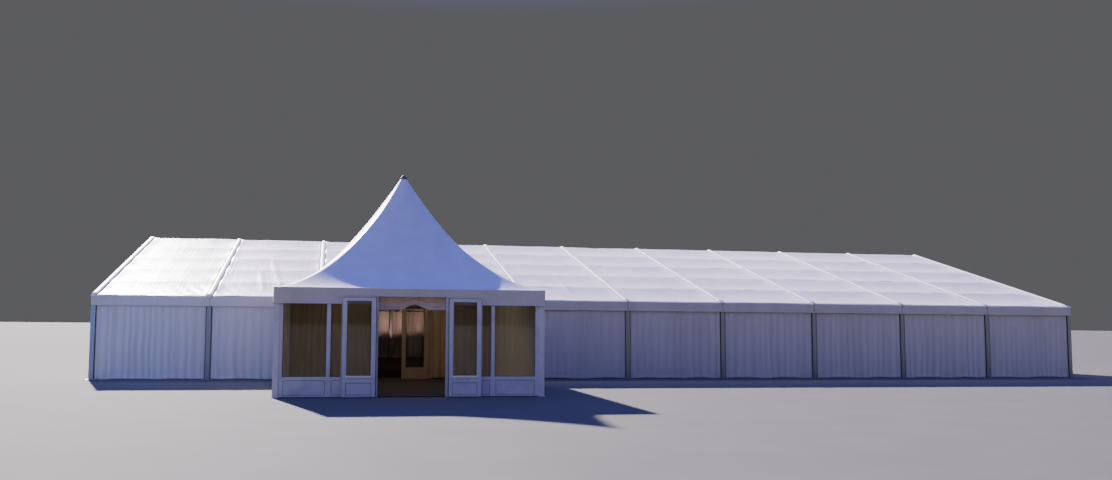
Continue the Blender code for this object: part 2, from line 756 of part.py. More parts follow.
def place_leaf(name, doorway, side, direction, offset_y, sill, material, glass):
    """A leaf and its pane, their origins on the hinge axis at the leaf's foot."""
    centre_x, face_y, foot = doorway
    sill_top, sill_rail = sill
    axis = (centre_x + side * HINGE_FROM_CENTRE, face_y - HINGE_PROUD, foot)
    leaf = place(name, leaf_mesh(direction, offset_y, sill_top, sill_rail), material, axis)
    pane = place(f"{name}_glass", pane_mesh(direction, offset_y, sill_top), glass, axis)
    return leaf, pane


def build_doors(white, cream, glass):
    doorway = (PAGODA_X, PAGODA_Y - PAGODA_LEG_FACE, DOOR_CLEARANCE_BELOW)
    sill = (SILL_RAIL_TOP, SILL_RAIL)
    for name, side in (("entrance_door_left", -1), ("entrance_door_right", 1)):
        place_leaf(name, doorway, side, side, -HINGE_TO_LEAF, sill, white, glass)
    floor = FLOOR_THICKNESS + GAP
    top = floor + DOORWAY_TOP
    frame = combine(portal_shapes(INNER_DOOR_X, INNER_DOOR_Y, floor, top, top + HEAD_HEIGHT))
    place("inner_door_frame", frame, cream)
    doorway = (INNER_DOOR_X, INNER_DOOR_Y, floor + DOOR_CLEARANCE_BELOW)
    sill = (INNER_SILL_RAIL_TOP, INNER_SILL_RAIL)
    for piece in place_leaf("inner_door_left", doorway, -1, -1, -HINGE_TO_LEAF, sill, cream, glass):
        piece.rotation_euler.z = OPEN_OUTWARDS
    place_leaf("inner_door_right", doorway, 1, -1, HINGE_TO_LEAF, sill, cream, glass)


# Soft furnishings

def build_drapes(brown):
    """Full-height drapes between the inner doorway and the pagoda's back legs."""
    outer = JAMB_INNER_FACE + JAMB_WIDTH + GAP
    edge = PAGODA_LEG_FACE - PAGODA_LEG - GAP
    y0 = INNER_DOOR_Y
    top = PAGODA_BEAM_BOTTOM - GAP
    left = box(
        PAGODA_X - edge, INNER_DOOR_X - outer, y0, y0 + DRAPE_THICKNESS, FLOOR_THICKNESS + GAP, top
    )
    right = box(
        INNER_DOOR_X + outer, PAGODA_X + edge, y0, y0 + DRAPE_THICKNESS, FLOOR_THICKNESS + GAP, top
    )
    place("inner_drape_left", left, brown)
    place("inner_drape_right", right, brown)


def swag_drop(from_peak):
    """How far the swag hangs at this distance from its peak: level, then up to an ogee's point."""
    near = max(0.0, 1 - abs(from_peak) / SWAG_PEAK_HALF)
    curved = near * near * (3 - 2 * near)
    return SWAG_DROP_SIDE - (SWAG_DROP_SIDE - SWAG_DROP_MIDDLE) * (curved + near) / 2


def build_swag(lining):
    half = JAMB_INNER_FACE + JAMB_WIDTH
    peak = PAGODA_X + SWAG_PEAK_FROM_MIDDLE
    top = DOORWAY_TOP + HEAD_HEIGHT
    points = [(PAGODA_X - half, top), (PAGODA_X + half, top), (PAGODA_X + half, DOORWAY_TOP - SWAG_DROP_SIDE)]
    for step in range(SWAG_STEPS, -SWAG_STEPS - 1, -1):
        from_peak = SWAG_PEAK_HALF * step / SWAG_STEPS
        points.append((peak + from_peak, DOORWAY_TOP - swag_drop(from_peak)))
    points.append((PAGODA_X - half, DOORWAY_TOP - SWAG_DROP_SIDE))
    start = PAGODA_Y - PAGODA_LEG_FACE + JAMB_DEPTH + GAP
    place("doorway_swag", prism(points, start, start + SWAG_THICKNESS, "Y"), lining)


def main():
    clear_scene()
    pvc = make_material("pvc_white", (0.84, 0.85, 0.88), 0.45)
    aluminium = make_material("aluminium", (0.78, 0.79, 0.81), 0.35, 0.9)
    white = make_material("white_paint", (0.82, 0.83, 0.86), 0.40)
    cream = make_material("cream_paint", (0.70, 0.58, 0.45), 0.45)
    glass = make_material("glass", (0.80, 0.82, 0.80), 0.05, 0.0, 0.35)
    carpet = make_material("carpet", (0.055, 0.040, 0.035), 0.95)
    brown = make_material("drape", (0.34, 0.22, 0.10), 0.85)
    lining = make_material("lining", (0.46, 0.41, 0.37), 0.85)
    dark = make_material("cap_grey", (0.10, 0.10, 0.11), 0.50)
    build_frames(aluminium)
    build_roof(pvc)
    build_walls(pvc)
    build_gables(pvc)
    build_floors(carpet)
    build_pagoda(pvc, aluminium, dark)
    build_entrance(white, glass)
    build_doors(white, cream, glass)
    build_drapes(brown)
    build_swag(lining)


main()
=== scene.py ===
"""Looks of the marquee tent: fabric, glazing, soft furnishings, finishes, light and camera.

Metres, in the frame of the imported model: +X along the tent, +Y from the entrance to the back
wall, +Z up. Places are worked out from the model's boxes and the driving sizes below.
"""
import math
import random

import bmesh
import bpy
import numpy as np
from mathutils import Matrix, Vector


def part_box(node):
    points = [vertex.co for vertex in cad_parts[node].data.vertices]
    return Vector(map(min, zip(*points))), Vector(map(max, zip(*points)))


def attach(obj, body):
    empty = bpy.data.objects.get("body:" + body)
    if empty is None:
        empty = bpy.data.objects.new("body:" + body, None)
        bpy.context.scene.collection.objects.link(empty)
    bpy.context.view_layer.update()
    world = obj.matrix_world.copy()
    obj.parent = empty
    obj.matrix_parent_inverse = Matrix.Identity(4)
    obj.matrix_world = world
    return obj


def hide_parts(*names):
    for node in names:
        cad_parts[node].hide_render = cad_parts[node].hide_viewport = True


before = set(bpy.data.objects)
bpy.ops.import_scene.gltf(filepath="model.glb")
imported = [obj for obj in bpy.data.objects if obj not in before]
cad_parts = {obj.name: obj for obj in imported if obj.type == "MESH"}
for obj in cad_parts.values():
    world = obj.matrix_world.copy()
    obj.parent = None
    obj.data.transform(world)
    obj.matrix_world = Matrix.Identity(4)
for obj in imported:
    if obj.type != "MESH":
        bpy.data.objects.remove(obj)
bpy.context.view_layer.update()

# Main tent, as in the model
BAY = 3.0
BAYS = 10
DOOR_BAY = 2
SPAN = 15.0
EAVE_HEIGHT = 2.30
RIDGE_HEIGHT = 4.55
HALF_MEMBER = 0.06
LEG_DEPTH = 0.18
PLATE_THICKNESS = 0.012
ROOF_BELOW_RAFTER = 0.020
FABRIC_SPACE = 0.010
PURLINS_PER_SLOPE = 4
GABLE_POSTS = 4
VALANCE_STANDOFF = 0.030
VALANCE_DEPTH = 0.30
CURTAIN_RECESS = 0.020
GABLE_FACE = 0.020

# Pagoda, as in the model
PAGODA_EAVE = 2.33
PAGODA_RISE = 2.99
PAGODA_CURVE = 1.5
PAGODA_ROUNDING = 1.2
PAGODA_TIP_RADIUS = 0.07
PAGODA_FABRIC = 0.012
PAGODA_VALANCE_DEPTH = 0.34
PAGODA_VALANCE_OVER_DOOR = 0.17
PAGODA_LEG = 0.12
DOORWAY_HALF = 0.815
JAMB_WIDTH = 0.080
LEAF_WIDTH = 0.741
LEAF_THICKNESS = 0.040
STILE = 0.100
SILL_RAIL_TOP = 0.415
SILL_RAIL = 0.110
BOTTOM_RAIL = 0.045
KICK_RECESS = 0.012
SCREEN_POST = 0.065
SCREEN_SILL_TOP = 0.42
SCREEN_SILL_RAIL = 0.060
SCREEN_RECESS = 0.020

# Thickness of the coated fabric and of the cloth, a little more than real so that their edges read
PVC = 0.002
CLOTH = 0.0015

# Places read from the model
END_LOW, END_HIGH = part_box("portal_frame_11")
FRONT_Y = END_LOW.y + VALANCE_STANDOFF
BACK_Y = END_HIGH.y - VALANCE_STANDOFF
MIDDLE_Y = (FRONT_Y + BACK_Y) / 2
RIGHT_X = (END_LOW.x + END_HIGH.x) / 2
LEFT_X = RIGHT_X - BAY * BAYS
SLOPE = (RIDGE_HEIGHT - EAVE_HEIGHT) / (SPAN / 2)
TILT = math.atan(SLOPE)
CURTAIN_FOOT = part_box("gable_wall_left")[0].z
CURTAIN_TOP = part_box("front_wall_left")[1].z
PAGODA_LOW, PAGODA_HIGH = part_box("pagoda_roof")
PAGODA_X = (PAGODA_LOW.x + PAGODA_HIGH.x) / 2
PAGODA_Y = (PAGODA_LOW.y + PAGODA_HIGH.y) / 2
PAGODA_HALF = (PAGODA_HIGH.x - PAGODA_LOW.x) / 2
LEG_FACE = PAGODA_HALF - PAGODA_FABRIC
SCREEN_LOW, SCREEN_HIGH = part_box("entrance_screen")
PORCH_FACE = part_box("pagoda_floor")[0].y


# Materials

def set_inputs(node, inputs):
    """Sets a node's inputs by name, with _ for a space."""
    for name, value in inputs.items():
        node.inputs[name.replace("_", " ")].default_value = value


def shader_of(material):
    return material.node_tree.nodes["Principled BSDF"]


def new_material(name, color, roughness, **inputs):
    material = bpy.data.materials.new(name)
    material.use_nodes = True
    set_inputs(shader_of(material), {"Base Color": (*color, 1.0), "Roughness": roughness, **inputs})
    material.diffuse_color = (*color, 1.0)
    return material


def add_node(material, kind, **inputs):
    node = material.node_tree.nodes.new("ShaderNode" + kind)
    set_inputs(node, inputs)
    return node


def link(material, source, target):
    material.node_tree.links.new(source, target)


def texture(material, kind, stretch=(1, 1, 1), **inputs):
    """A texture on object coordinates. A higher stretch makes the pattern finer that way."""
    coordinates = add_node(material, "TexCoord")
    mapping = add_node(material, "Mapping", Scale=stretch)
    node = add_node(material, kind, **inputs)
    link(material, coordinates.outputs["Object"], mapping.inputs["Vector"])
    link(material, mapping.outputs["Vector"], node.inputs["Vector"])
    return node


def noise(material, scale, detail, stretch=(1, 1, 1)):
    return texture(material, "TexNoise", stretch, Scale=scale, Detail=detail).outputs["Fac"]


def color_ramp(material, factor, stops):
    """Turns a pattern into a colour that changes between (position, colour) stops."""
    ramp = add_node(material, "ValToRGB")
    elements = ramp.color_ramp.elements
    while len(elements) < len(stops):
        elements.new(1.0)
    for element, (position, color) in zip(elements, stops):
        element.position = position
        element.color = (*color, 1.0)
    link(material, factor, ramp.inputs["Fac"])
    return ramp.outputs["Color"]


def vary_color(material, factor, low, high, start=0.35, end=0.7):
    """Blends the base colour between two colours by a pattern."""
    blend = color_ramp(material, factor, ((start, low), (end, high)))
    link(material, blend, shader_of(material).inputs["Base Color"])


def vary_roughness(material, factor, low, high):
    span = add_node(material, "MapRange", To_Min=low, To_Max=high)
    link(material, factor, span.inputs["Value"])
    link(material, span.outputs["Result"], shader_of(material).inputs["Roughness"])


def add_bump(material, height, strength, distance):
    """Adds a bump on top of those that the material already has."""
    normal = shader_of(material).inputs["Normal"]
    bump = add_node(material, "Bump", Strength=strength, Distance=distance)
    link(material, height, bump.inputs["Height"])
    if normal.is_linked:
        link(material, normal.links[0].from_socket, bump.inputs["Normal"])
    link(material, bump.outputs["Normal"], normal)


def add_weave(material, scale, strength, distance):
    """Adds threads that cross on upright faces."""
    for direction in "XZ":
        threads = texture(material, "TexWave", Scale=scale)
        threads.bands_direction = direction
        add_bump(material, threads.outputs["Fac"], strength, distance)


def pvc_material(name, clean, dusty, stretch=(1, 1, 1)):
    """Coated fabric: satin face, faint scrim and cloudy dust, which stretch draws into streaks."""
    material = new_material(name, clean, roughness=0.42, IOR=1.46)
    dust = noise(material, scale=2.2, detail=5.0, stretch=stretch)
    vary_color(material, dust, dusty, clean, start=0.30, end=0.62)
    vary_roughness(material, noise(material, scale=3.0, detail=4.0), low=0.34, high=0.52)
    add_weave(material, scale=90.0, strength=0.03, distance=0.0003)
    add_bump(material, noise(material, scale=1.4, detail=3.0), strength=0.25, distance=0.006)
    return material


def metal_material(name, color, low, high, grain=(1, 1, 1)):
    material = new_material(name, color, low, Metallic=0.85)
    vary_roughness(material, noise(material, scale=6.0, detail=6.0, stretch=grain), low, high)
    pits = noise(material, scale=40.0, detail=4.0, stretch=grain)
    add_bump(material, pits, strength=0.12, distance=0.0006)
    return material


def paint_material(name, color, worn, roughness):
    """Sprayed paint: orange peel, slight gloss changes and faint grubby patches."""
    material = new_material(name, color, roughness, Coat_Weight=0.15, Coat_Roughness=0.25)
    vary_color(material, noise(material, scale=3.5, detail=6.0), worn, color, start=0.28, end=0.5)
    vary_roughness(material, noise(material, scale=9.0, detail=3.0), roughness - 0.06, roughness + 0.08)
    add_bump(material, noise(material, scale=260.0, detail=2.0), strength=0.10, distance=0.0003)
    return material


def cloth_material(name, color, shade, sheen, weave):
    """Woven furnishing cloth with sheen, its threads crossing at a visible scale close up."""
    material = new_material(name, color, roughness=0.72, Sheen_Weight=sheen, Sheen_Roughness=0.35)
    patches = noise(material, scale=5.0, detail=5.0, stretch=(1, 1, 0.25))
    vary_color(material, patches, shade, color, start=0.30, end=0.66)
    add_weave(material, weave, strength=0.10, distance=0.0004)
    return material


def carpet_material():
    material = new_material("carpet_brown", (0.050, 0.036, 0.031), roughness=0.95, Sheen_Weight=0.12)
    pile = noise(material, scale=420.0, detail=3.0)
    vary_color(material, pile, (0.018, 0.012, 0.010), (0.050, 0.035, 0.029))
    add_bump(material, noise(material, scale=380.0, detail=4.0), strength=0.8, distance=0.003)
    add_bump(material, noise(material, scale=2.0, detail=3.0), strength=0.2, distance=0.004)
    return material


def glass_material():
    # Clear glass given a darker olive tint, which is a painted reflection of dark green surroundings.
    material = new_material("clear_glass_painted_reflection", (0.72, 0.73, 0.66), 0.02, Transmission_Weight=1.0, IOR=1.45)
    vary_roughness(material, noise(material, scale=5.0, detail=4.0), low=0.012, high=0.04)
    add_bump(material, noise(material, scale=1.2, detail=1.0), strength=0.05, distance=0.003)
    return material


def rubber_material():
    material = new_material("rubber_and_painted_shadow", (0.035, 0.037, 0.045), roughness=0.6)
    vary_roughness(material, noise(material, scale=12.0, detail=3.0), low=0.5, high=0.75)
    add_bump(material, noise(material, scale=90.0, detail=3.0), strength=0.2, distance=0.0005)
    return material


RAIN_STREAKS = (1, 1, 0.12)
FOLDS_ACROSS_BAYS = (14.0, 0.5, 0.5)
DRAWN_GRAIN = (0.2, 0.2, 4)

ROOF_PVC = pvc_material("roof_pvc", (0.87, 0.80, 0.89), (0.80, 0.73, 0.83))
add_bump(ROOF_PVC, noise(ROOF_PVC, 1.0, 2.0, FOLDS_ACROSS_BAYS), strength=0.4, distance=0.012)
# Walls and valances: white coated fabric made darker and warmer than the roof's. This is painted shade and
# painted warm bounce light from the ground.
WALL_PVC_WARM_BOUNCE = pvc_material("wall_pvc_painted_warm_bounce", (0.76, 0.70, 0.63), (0.69, 0.63, 0.56), RAIN_STREAKS)
# Pagoda membrane: white coated fabric given a blue tint, which is painted blue shade from the sky on the
# face away from the sun.
PAGODA_PVC_BLUE_SHADE = pvc_material("pagoda_pvc_painted_blue_shade", (0.76, 0.80, 0.98), (0.70, 0.74, 0.93))
# Rafter strips and eave welt: white coated fabric made brighter than the roof's. This is a painted
# highlight where the raised strips catch the sun.
SEAM_PVC_HIGHLIGHT = pvc_material("seam_pvc_painted_highlight", (0.94, 0.92, 0.98), (0.89, 0.87, 0.94))
# Frames and rails: aluminium with a base colour darker than bare aluminium's, which is painted shade on the
# legs. The drawn grain and pits are the metal's own.
ALUMINIUM_SHADED = metal_material("mill_aluminium_painted_shade", (0.42, 0.43, 0.43), 0.34, 0.52, DRAWN_GRAIN)
STEEL = metal_material("zinc_steel", (0.55, 0.56, 0.58), 0.35, 0.6)
WHITE_PAINT = paint_material("white_powder_coat", (0.78, 0.75, 0.78), (0.66, 0.63, 0.67), 0.32)
# Weather bars: pale cream, lighter than the door paint, which is a painted highlight where the bars catch
# the light.
SILL_PAINT_HIGHLIGHT = paint_material("sill_paint_painted_highlight", (0.96, 0.86, 0.68), (0.90, 0.80, 0.62), 0.30)
# Inner doors and their beads: cream paint darkened to brown, which is painted shade for the dim porch.
CREAM_PAINT_SHADED = paint_material("cream_paint", (0.37, 0.27, 0.20), (0.30, 0.215, 0.16), 0.42)
CARPET = carpet_material()
GLASS_PAINTED_REFLECTION = glass_material()
# Dark rubber: real for the glazing gaskets. Where strips stand beside the legs and round the entrance
# leaves, it is painted shadow.
RUBBER_AND_SHADOW_STRIPS = rubber_material()
DRAPE = cloth_material("drape_brown", (0.42, 0.32, 0.20), (0.32, 0.24, 0.15), sheen=0.4, weave=240.0)
LINING = cloth_material("lining_taupe", (0.80, 0.60, 0.48), (0.65, 0.48, 0.38), sheen=0.6, weave=260.0)
HEADER = cloth_material("lining_ivory", (0.88, 0.62, 0.42), (0.74, 0.51, 0.33), sheen=0.4, weave=260.0)
CAP_DARK = paint_material("cap_dark", (0.14, 0.145, 0.17), (0.09, 0.095, 0.11), 0.45)


# Pieces

def frame_x(number):
    """Place along the tent of the frame that has this many bays on its left."""
    return LEFT_X + BAY * number


def place_object(name, data):
    obj = bpy.data.objects.new(name, data)
    bpy.context.scene.collection.objects.link(obj)
    return obj


def finish_piece(name, mesh, material, body="tent"):
    obj = place_object(name, mesh)
    mesh.materials.append(material)
    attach(obj, body)
    return obj


def points_of(place, u, v):
    """Points of a sheet, whose place turns across and along values into x, y and z."""
    return np.stack(np.broadcast_arrays(*place(u, v)), axis=-1)


def cloth(name, across, along, place, material, thickness=PVC, closed=False):
    """A sheet of fabric. closed joins its sides."""
    points = points_of(place, *np.meshgrid(across, along)).reshape(-1, 3)
    columns = len(across)
    column = np.arange(columns if closed else columns - 1)
    row = np.arange(len(along) - 1)[:, None] * columns
    left = row + column
    right = row + (column + 1) % columns
    quads = np.stack([left, right, right + columns, left + columns], axis=-1).reshape(-1, 4)
    mesh = bpy.data.meshes.new(name)
    mesh.from_pydata(points.tolist(), [], quads.tolist())
    mesh.polygons.foreach_set("use_smooth", [True] * len(quads))
    obj = finish_piece(name, mesh, material)
    solid = obj.modifiers.new("Thickness", "SOLIDIFY")
    solid.thickness = thickness
    solid.offset = 0.0
    return obj


def solid_piece(name, bm, material, body="tent", smooth=False):
    bmesh.ops.recalc_face_normals(bm, faces=bm.faces)
    mesh = bpy.data.meshes.new(name)
    bm.to_mesh(mesh)
    bm.free()
    if smooth:
        mesh.polygons.foreach_set("use_smooth", [True] * len(mesh.polygons))
    return finish_piece(name, mesh, material, body)


def soften(obj, width, segments=2):
    """Rounds the edges of a piece or of a model's node."""
    bevel = obj.modifiers.new("Soft edges", "BEVEL")
    bevel.width = width
    bevel.segments = segments
    bevel.limit_method = "ANGLE"
    bevel.angle_limit = math.radians(40)
    bevel.harden_normals = True


def bar_piece(name, bars, material, body="tent", edge=0.0, segments=2):
    """A piece made of blocks, each between two opposite corners. edge rounds their edges."""
    bm = bmesh.new()
    for corners in bars:
        low = Vector([min(pair) for pair in zip(*corners)])
        high = Vector([max(pair) for pair in zip(*corners)])
        made = bmesh.ops.create_cube(bm, size=1.0)
        place = Matrix.Translation((low + high) / 2) @ Matrix.Diagonal((*(high - low), 1.0))
        bmesh.ops.transform(bm, matrix=place, verts=made["verts"])
    piece = solid_piece(name, bm, material, body)
    if edge:
        soften(piece, edge, segments)
    return piece


def frame_bars(low, high, near, far, width, normal=1):
    """Four bars inside a rectangle's edges, from near to far along the normal axis."""
    flat = 1 - normal
    start, end = low[flat], high[flat]
    bars = []
    for a0, a1, z0, z1 in (
        (start, start + width, low[2], high[2]),
        (end - width, end, low[2], high[2]),
        (start + width, end - width, low[2], low[2] + width),
        (start + width, end - width, high[2] - width, high[2]),
    ):
        corner, opposite = [a0, a0, z0], [a1, a1, z1]
        corner[normal], opposite[normal] = near, far
        bars.append((corner, opposite))
    return bars


def add_cylinder(bm, radius, length, sides):
    made = bmesh.ops.create_cone(
        bm, cap_ends=True, segments=sides, radius1=radius, radius2=radius, depth=length
    )
    return made["verts"]


WAVES = 5
WAVE_PITCHES = (0.7, 1.5)
WAVE_SCALE = 3


def waves(x, y, size, seed):
    """Smooth noise of about -1 to 1: crossed waves with seeded directions and phases."""
    draw = random.Random(seed)
    total = 0.0
    for _ in range(WAVES):
        angle = draw.uniform(0, 2 * math.pi)
        pitch = size * draw.uniform(*WAVE_PITCHES)
        across = x * math.cos(angle) + y * math.sin(angle)
        total = total + np.sin(2 * math.pi * across / pitch + draw.uniform(0, 2 * math.pi))
    return total / WAVE_SCALE


def ripple(kind, x, y, number=0):
    """Noise of a kind that is given by its height, its size and its first seed."""
    height, size, seed = kind
    return height * waves(x, y, size, seed + number)


def cycle(place, pitch):
    return np.sin(2 * math.pi * place / pitch)


def mix(start, end, share):
    return start + (end - start) * share


def smoothstep(low, high, value):
    share = np.clip((value - low) / (high - low), 0.0, 1.0)
    return share * share * (3 - 2 * share)


def between(low, high, value, low_fade, high_fade):
    """1 between two values, fading to 0 at them."""
    return smoothstep(low, low + low_fade, value) * smoothstep(high, high - high_fade, value)


def fold_length(points):
    """Length of a line of points."""
    return float(np.linalg.norm(np.diff(points, axis=0), axis=1).sum())


def length_across(place, across, share):
    """Length along a sheet's folds, at this share of its way along."""
    return fold_length(points_of(place, across, np.full_like(across, share)))


# Main roof

ROOF_SAG = 0.052
PURLIN_SEAT = 0.022
BAND_STEPS = 9
LAST_BAND_STEPS = 15
SHEET_COLUMNS = 40
ROOF_RIPPLE = (0.0035, 0.9, 10)
ROOF_BILLOW = (0.006, 2.8, 70)

# Beside a frame: how far its hold reaches, the share of the sag there and the flat margin
EDGE_HOLD = 0.16
EDGE_SAG = 0.25
EDGE_FLAT = 0.2

# Slanting folds in the band above the eave
EAVE_FOLD_DEPTH = 0.010
EAVE_FOLD_PITCH = 0.36
EAVE_FOLD_LEAN = 0.55
EAVE_FOLD_FADES = (0.5, 0.15)
EAVE_FOLD_CHANGE = (0.5, 2.4, 40)

# Long creases that show on the roof: bay, place across the bay, from and to along the slope
CREASES = (
    (1, 0.45, 0.63, 2.9, 6.6), (1, 0.36, 0.46, 4.3, 6.9), (4, 0.55, 0.50, 4.0, 7.0),
    (7, 0.17, 0.16, 2.2, 7.2), (8, 0.30, 0.26, 1.4, 5.6),
)
CREASE_HEIGHT = 0.020
CREASE_WIDTH = 0.045
CREASE_FADE = 0.6


def rest_places():
    """Distances from the ridge at which the roof rests on a purlin."""
    run = SPAN / 2 - LEG_DEPTH / 2
    steps = PURLINS_PER_SLOPE + 1
    return [run * step / steps for step in range(steps + 1)]


def sheet_rows():
    """Distances from the ridge of the sheet's rows on one slope."""
    rows = [0.0]
    rests = rest_places()
    for near, far in zip(rests, rests[1:]):
        steps = LAST_BAND_STEPS if far == rests[-1] else BAND_STEPS
        rows += list(np.linspace(near + PURLIN_SEAT, far - PURLIN_SEAT, steps))
        rows.append(far)
    rows.append(SPAN / 2 + VALANCE_STANDOFF - FABRIC_SPACE / 2)
    return np.array(rows)


def sag_at(distance):
    rests = rest_places()
    sag = np.zeros_like(distance)
    for near, far in zip(rests, rests[1:]):
        share = np.clip((distance - near - PURLIN_SEAT) / (far - near - 2 * PURLIN_SEAT), 0, 1)
        sag = sag + ROOF_SAG * 4 * share * (1 - share)
    return sag


def roof_surface(distance):
    """Middle of the sheet where it lies on a purlin, at this distance from the ridge."""
    top = RIDGE_HEIGHT - ROOF_BELOW_RAFTER - FABRIC_SPACE / math.cos(TILT) + PVC
    return top - SLOPE * distance


def build_roof():
    half = HALF_MEMBER + PVC
    width = BAY - 2 * half
    outward = sheet_rows()
    along = np.concatenate([-outward[:0:-1], outward])
    across = np.linspace(0, 1, SHEET_COLUMNS + 1)
    for bay in range(BAYS):
        left = frame_x(bay) + half

        def place(u, v):
            distance = np.abs(v)
            x = left + width * u
            edge = np.minimum(u, 1 - u) * width
            hold = 1 - np.exp(-edge / EDGE_HOLD)
            folds = between(*rest_places()[-2:], distance, *EAVE_FOLD_FADES)
            folds = folds * cycle(x + EAVE_FOLD_LEAN * v, EAVE_FOLD_PITCH)
            folds = folds * EAVE_FOLD_DEPTH * (0.5 + ripple(EAVE_FOLD_CHANGE, x, v, bay))
            z = roof_surface(distance) - sag_at(distance) * mix(EDGE_SAG, 1, hold)
            z = z + smoothstep(0, EDGE_FLAT, edge) * (folds + ripple(ROOF_RIPPLE, x, v, bay))
            z = z + hold * ripple(ROOF_BILLOW, x, v, bay)
            for crease_bay, start, end, near, far in CREASES:
                if crease_bay == bay:
                    middle = mix(start, end, np.clip((distance - near) / (far - near), 0, 1))
                    crease = np.exp(-(((u - middle) * width) / CREASE_WIDTH) ** 2) * (v < 0)
                    crease = crease * between(near, far, distance, CREASE_FADE, CREASE_FADE)
                    z = z + CREASE_HEIGHT * crease
            return x, MIDDLE_Y + v, z

        sheet = cloth(f"roof_cover_{bay + 1:02d}", across, along, place, ROOF_PVC)
        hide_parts(f"roof_sheet_{bay + 1:02d}")


STRIP_FOLD = 0.042
STRIP_EDGE = HALF_MEMBER + 0.0008
STRIP_ROWS = 61
STRIP_ABOVE_RAFTER = 0.001
STRIP_PAST_VALANCE = 0.006
STRIP_LIP = 0.050
STRIP_LIP_START = 0.010
STRIP_LIP_OUT = 0.003

# One half of a strip's cross section and its crown: distance from its middle, height
STRIP_HALF = (
    (STRIP_EDGE, -STRIP_FOLD), (STRIP_EDGE, -0.003), (0.056, 0.0015), (0.040, 0.003), (0.026, 0.010),
)
STRIP_CROWN = (0.0, 0.012)


def build_rafter_strips():
    """White covers along the rafters, folded down their sides and over the valances at the eaves."""
    eave = SPAN / 2 + VALANCE_STANDOFF + STRIP_PAST_VALANCE
    slope_part = np.linspace(-eave, eave, STRIP_ROWS)
    heights = RIDGE_HEIGHT + STRIP_ABOVE_RAFTER - SLOPE * np.abs(slope_part)
    lip_y = np.full(2, eave + STRIP_LIP_OUT)
    lip_z = heights[0] - np.array([STRIP_LIP_START, STRIP_LIP])
    path_y = np.concatenate([-lip_y, slope_part, lip_y])
    path_z = np.concatenate([lip_z[::-1], heights, lip_z])
    section = np.array([*((-x, z) for x, z in STRIP_HALF), STRIP_CROWN, *STRIP_HALF[::-1]])
    on_slope = np.zeros(len(path_y))
    on_slope[3:-3] = 1.0
    for number in range(BAYS + 1):
        middle = frame_x(number)

        def place(u, v):
            return middle + section[u, 0], MIDDLE_Y + path_y[v], path_z[v] + section[u, 1] * on_slope[v]

        name = f"rafter_strip_{number + 1:02d}"
        strip = cloth(name, np.arange(len(section)), np.arange(len(path_y)), place, SEAM_PVC_HIGHLIGHT)


VALANCE_GAP = 0.005
VALANCE_ABOVE_ROOF = 0.006
VALANCE_INWARD = 0.045
VALANCE_RISE = 0.002
VALANCE_CORNER = 0.010
CORNER_STEPS = 4
VALANCE_COLUMNS = 61
VALANCE_TUCK = 0.004
VALANCE_SWING = (0.005, 1.1, 100)
VALANCE_SWING_FLATNESS = 0.3
VALANCE_RIPPLE = (0.002, 0.25, 120)
HEM_DEPTH = 0.035
HEM_STEP = 0.004
HEM_THICKNESS = 0.0015


def valance_path(face, outward, top, depth):
    """Rows of a valance: over the edge, round it and down, as (y, z, share of the way down)."""
    rows = [(face - outward * VALANCE_INWARD, top + VALANCE_RISE, 0.0)]
    for step in range(CORNER_STEPS + 1):
        angle = math.pi / 2 * step / CORNER_STEPS
        y = face - outward * VALANCE_CORNER * (1 - math.sin(angle))
        rows.append((y, top - VALANCE_CORNER * (1 - math.cos(angle)), 0.0))
    hem = (1 - HEM_DEPTH / depth, 1 - (HEM_DEPTH - HEM_STEP) / depth, 0.97, 1.0)
    for share in (*np.linspace(0.03, 0.84, 9), *hem):
        rows.append((face, top - VALANCE_CORNER - (depth - VALANCE_CORNER) * share, share))
    return np.array(rows)


def build_valances():
    top = roof_surface(SPAN / 2 + VALANCE_STANDOFF) + VALANCE_ABOVE_ROOF
    depth = top - (EAVE_HEIGHT - VALANCE_DEPTH)
    across = np.linspace(0, 1, VALANCE_COLUMNS)
    for side_name, side, outward in (("front", FRONT_Y, -1), ("back", BACK_Y, 1)):
        rows = valance_path(side + outward * VALANCE_STANDOFF, outward, top, depth)
        for bay in range(BAYS):
            first = frame_x(bay) + VALANCE_GAP / 2
            last = frame_x(bay + 1) - VALANCE_GAP / 2
            if bay == 0:
                first -= HALF_MEMBER
            if bay == BAYS - 1:
                last += HALF_MEMBER

            def place(u, v):
                x = mix(first, last, u)
                y, z, share = (rows[v, column] for column in range(3))
                swing = ripple(VALANCE_SWING, x, z * VALANCE_SWING_FLATNESS, bay)
                swing = share * (swing + ripple(VALANCE_RIPPLE, x, z, bay) - VALANCE_TUCK)
                hem = np.where(share > 1 - HEM_DEPTH / depth, HEM_THICKNESS, 0.0)
                return x, y + outward * (swing + hem), z

            name = f"{side_name}_valance_{bay + 1:02d}"
            sheet = cloth(name, across, np.arange(len(rows)), place, WALL_PVC_WARM_BOUNCE)
            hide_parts(f"roof_sheet_{bay + 1:02d}")


# Curtain walls

GROUND_CLEARANCE = 0.003

# Distances from a post between which the curtain's foot comes down to the ground
PLATE_CLEAR = (0.10, 0.16)

# Uneven vertical folds, with the shares of their depth at the top and beside a post, and how
# far below and beside these they are full
FOLD_WIDTHS = (0.13, 0.30)
FOLD_DEPTH = 0.016
GABLE_FOLD_DEPTH = 0.010
FOLD_SHARES = (0.35, 1.0)
FOLD_SHARPNESS = 0.75
FOLD_AT_TOP = 0.45
FOLD_AT_POST = 0.15
FULL_BELOW = 0.5
FULL_BESIDE = 0.10
FOLD_WANDER = (0.02, 1.3, 5)

# Pull lines that slant from the upper corners
PULL_DEPTH = 0.021
PULL_REACH = 0.6
PULL_PITCH = 0.32
PULL_LEAN = 0.8

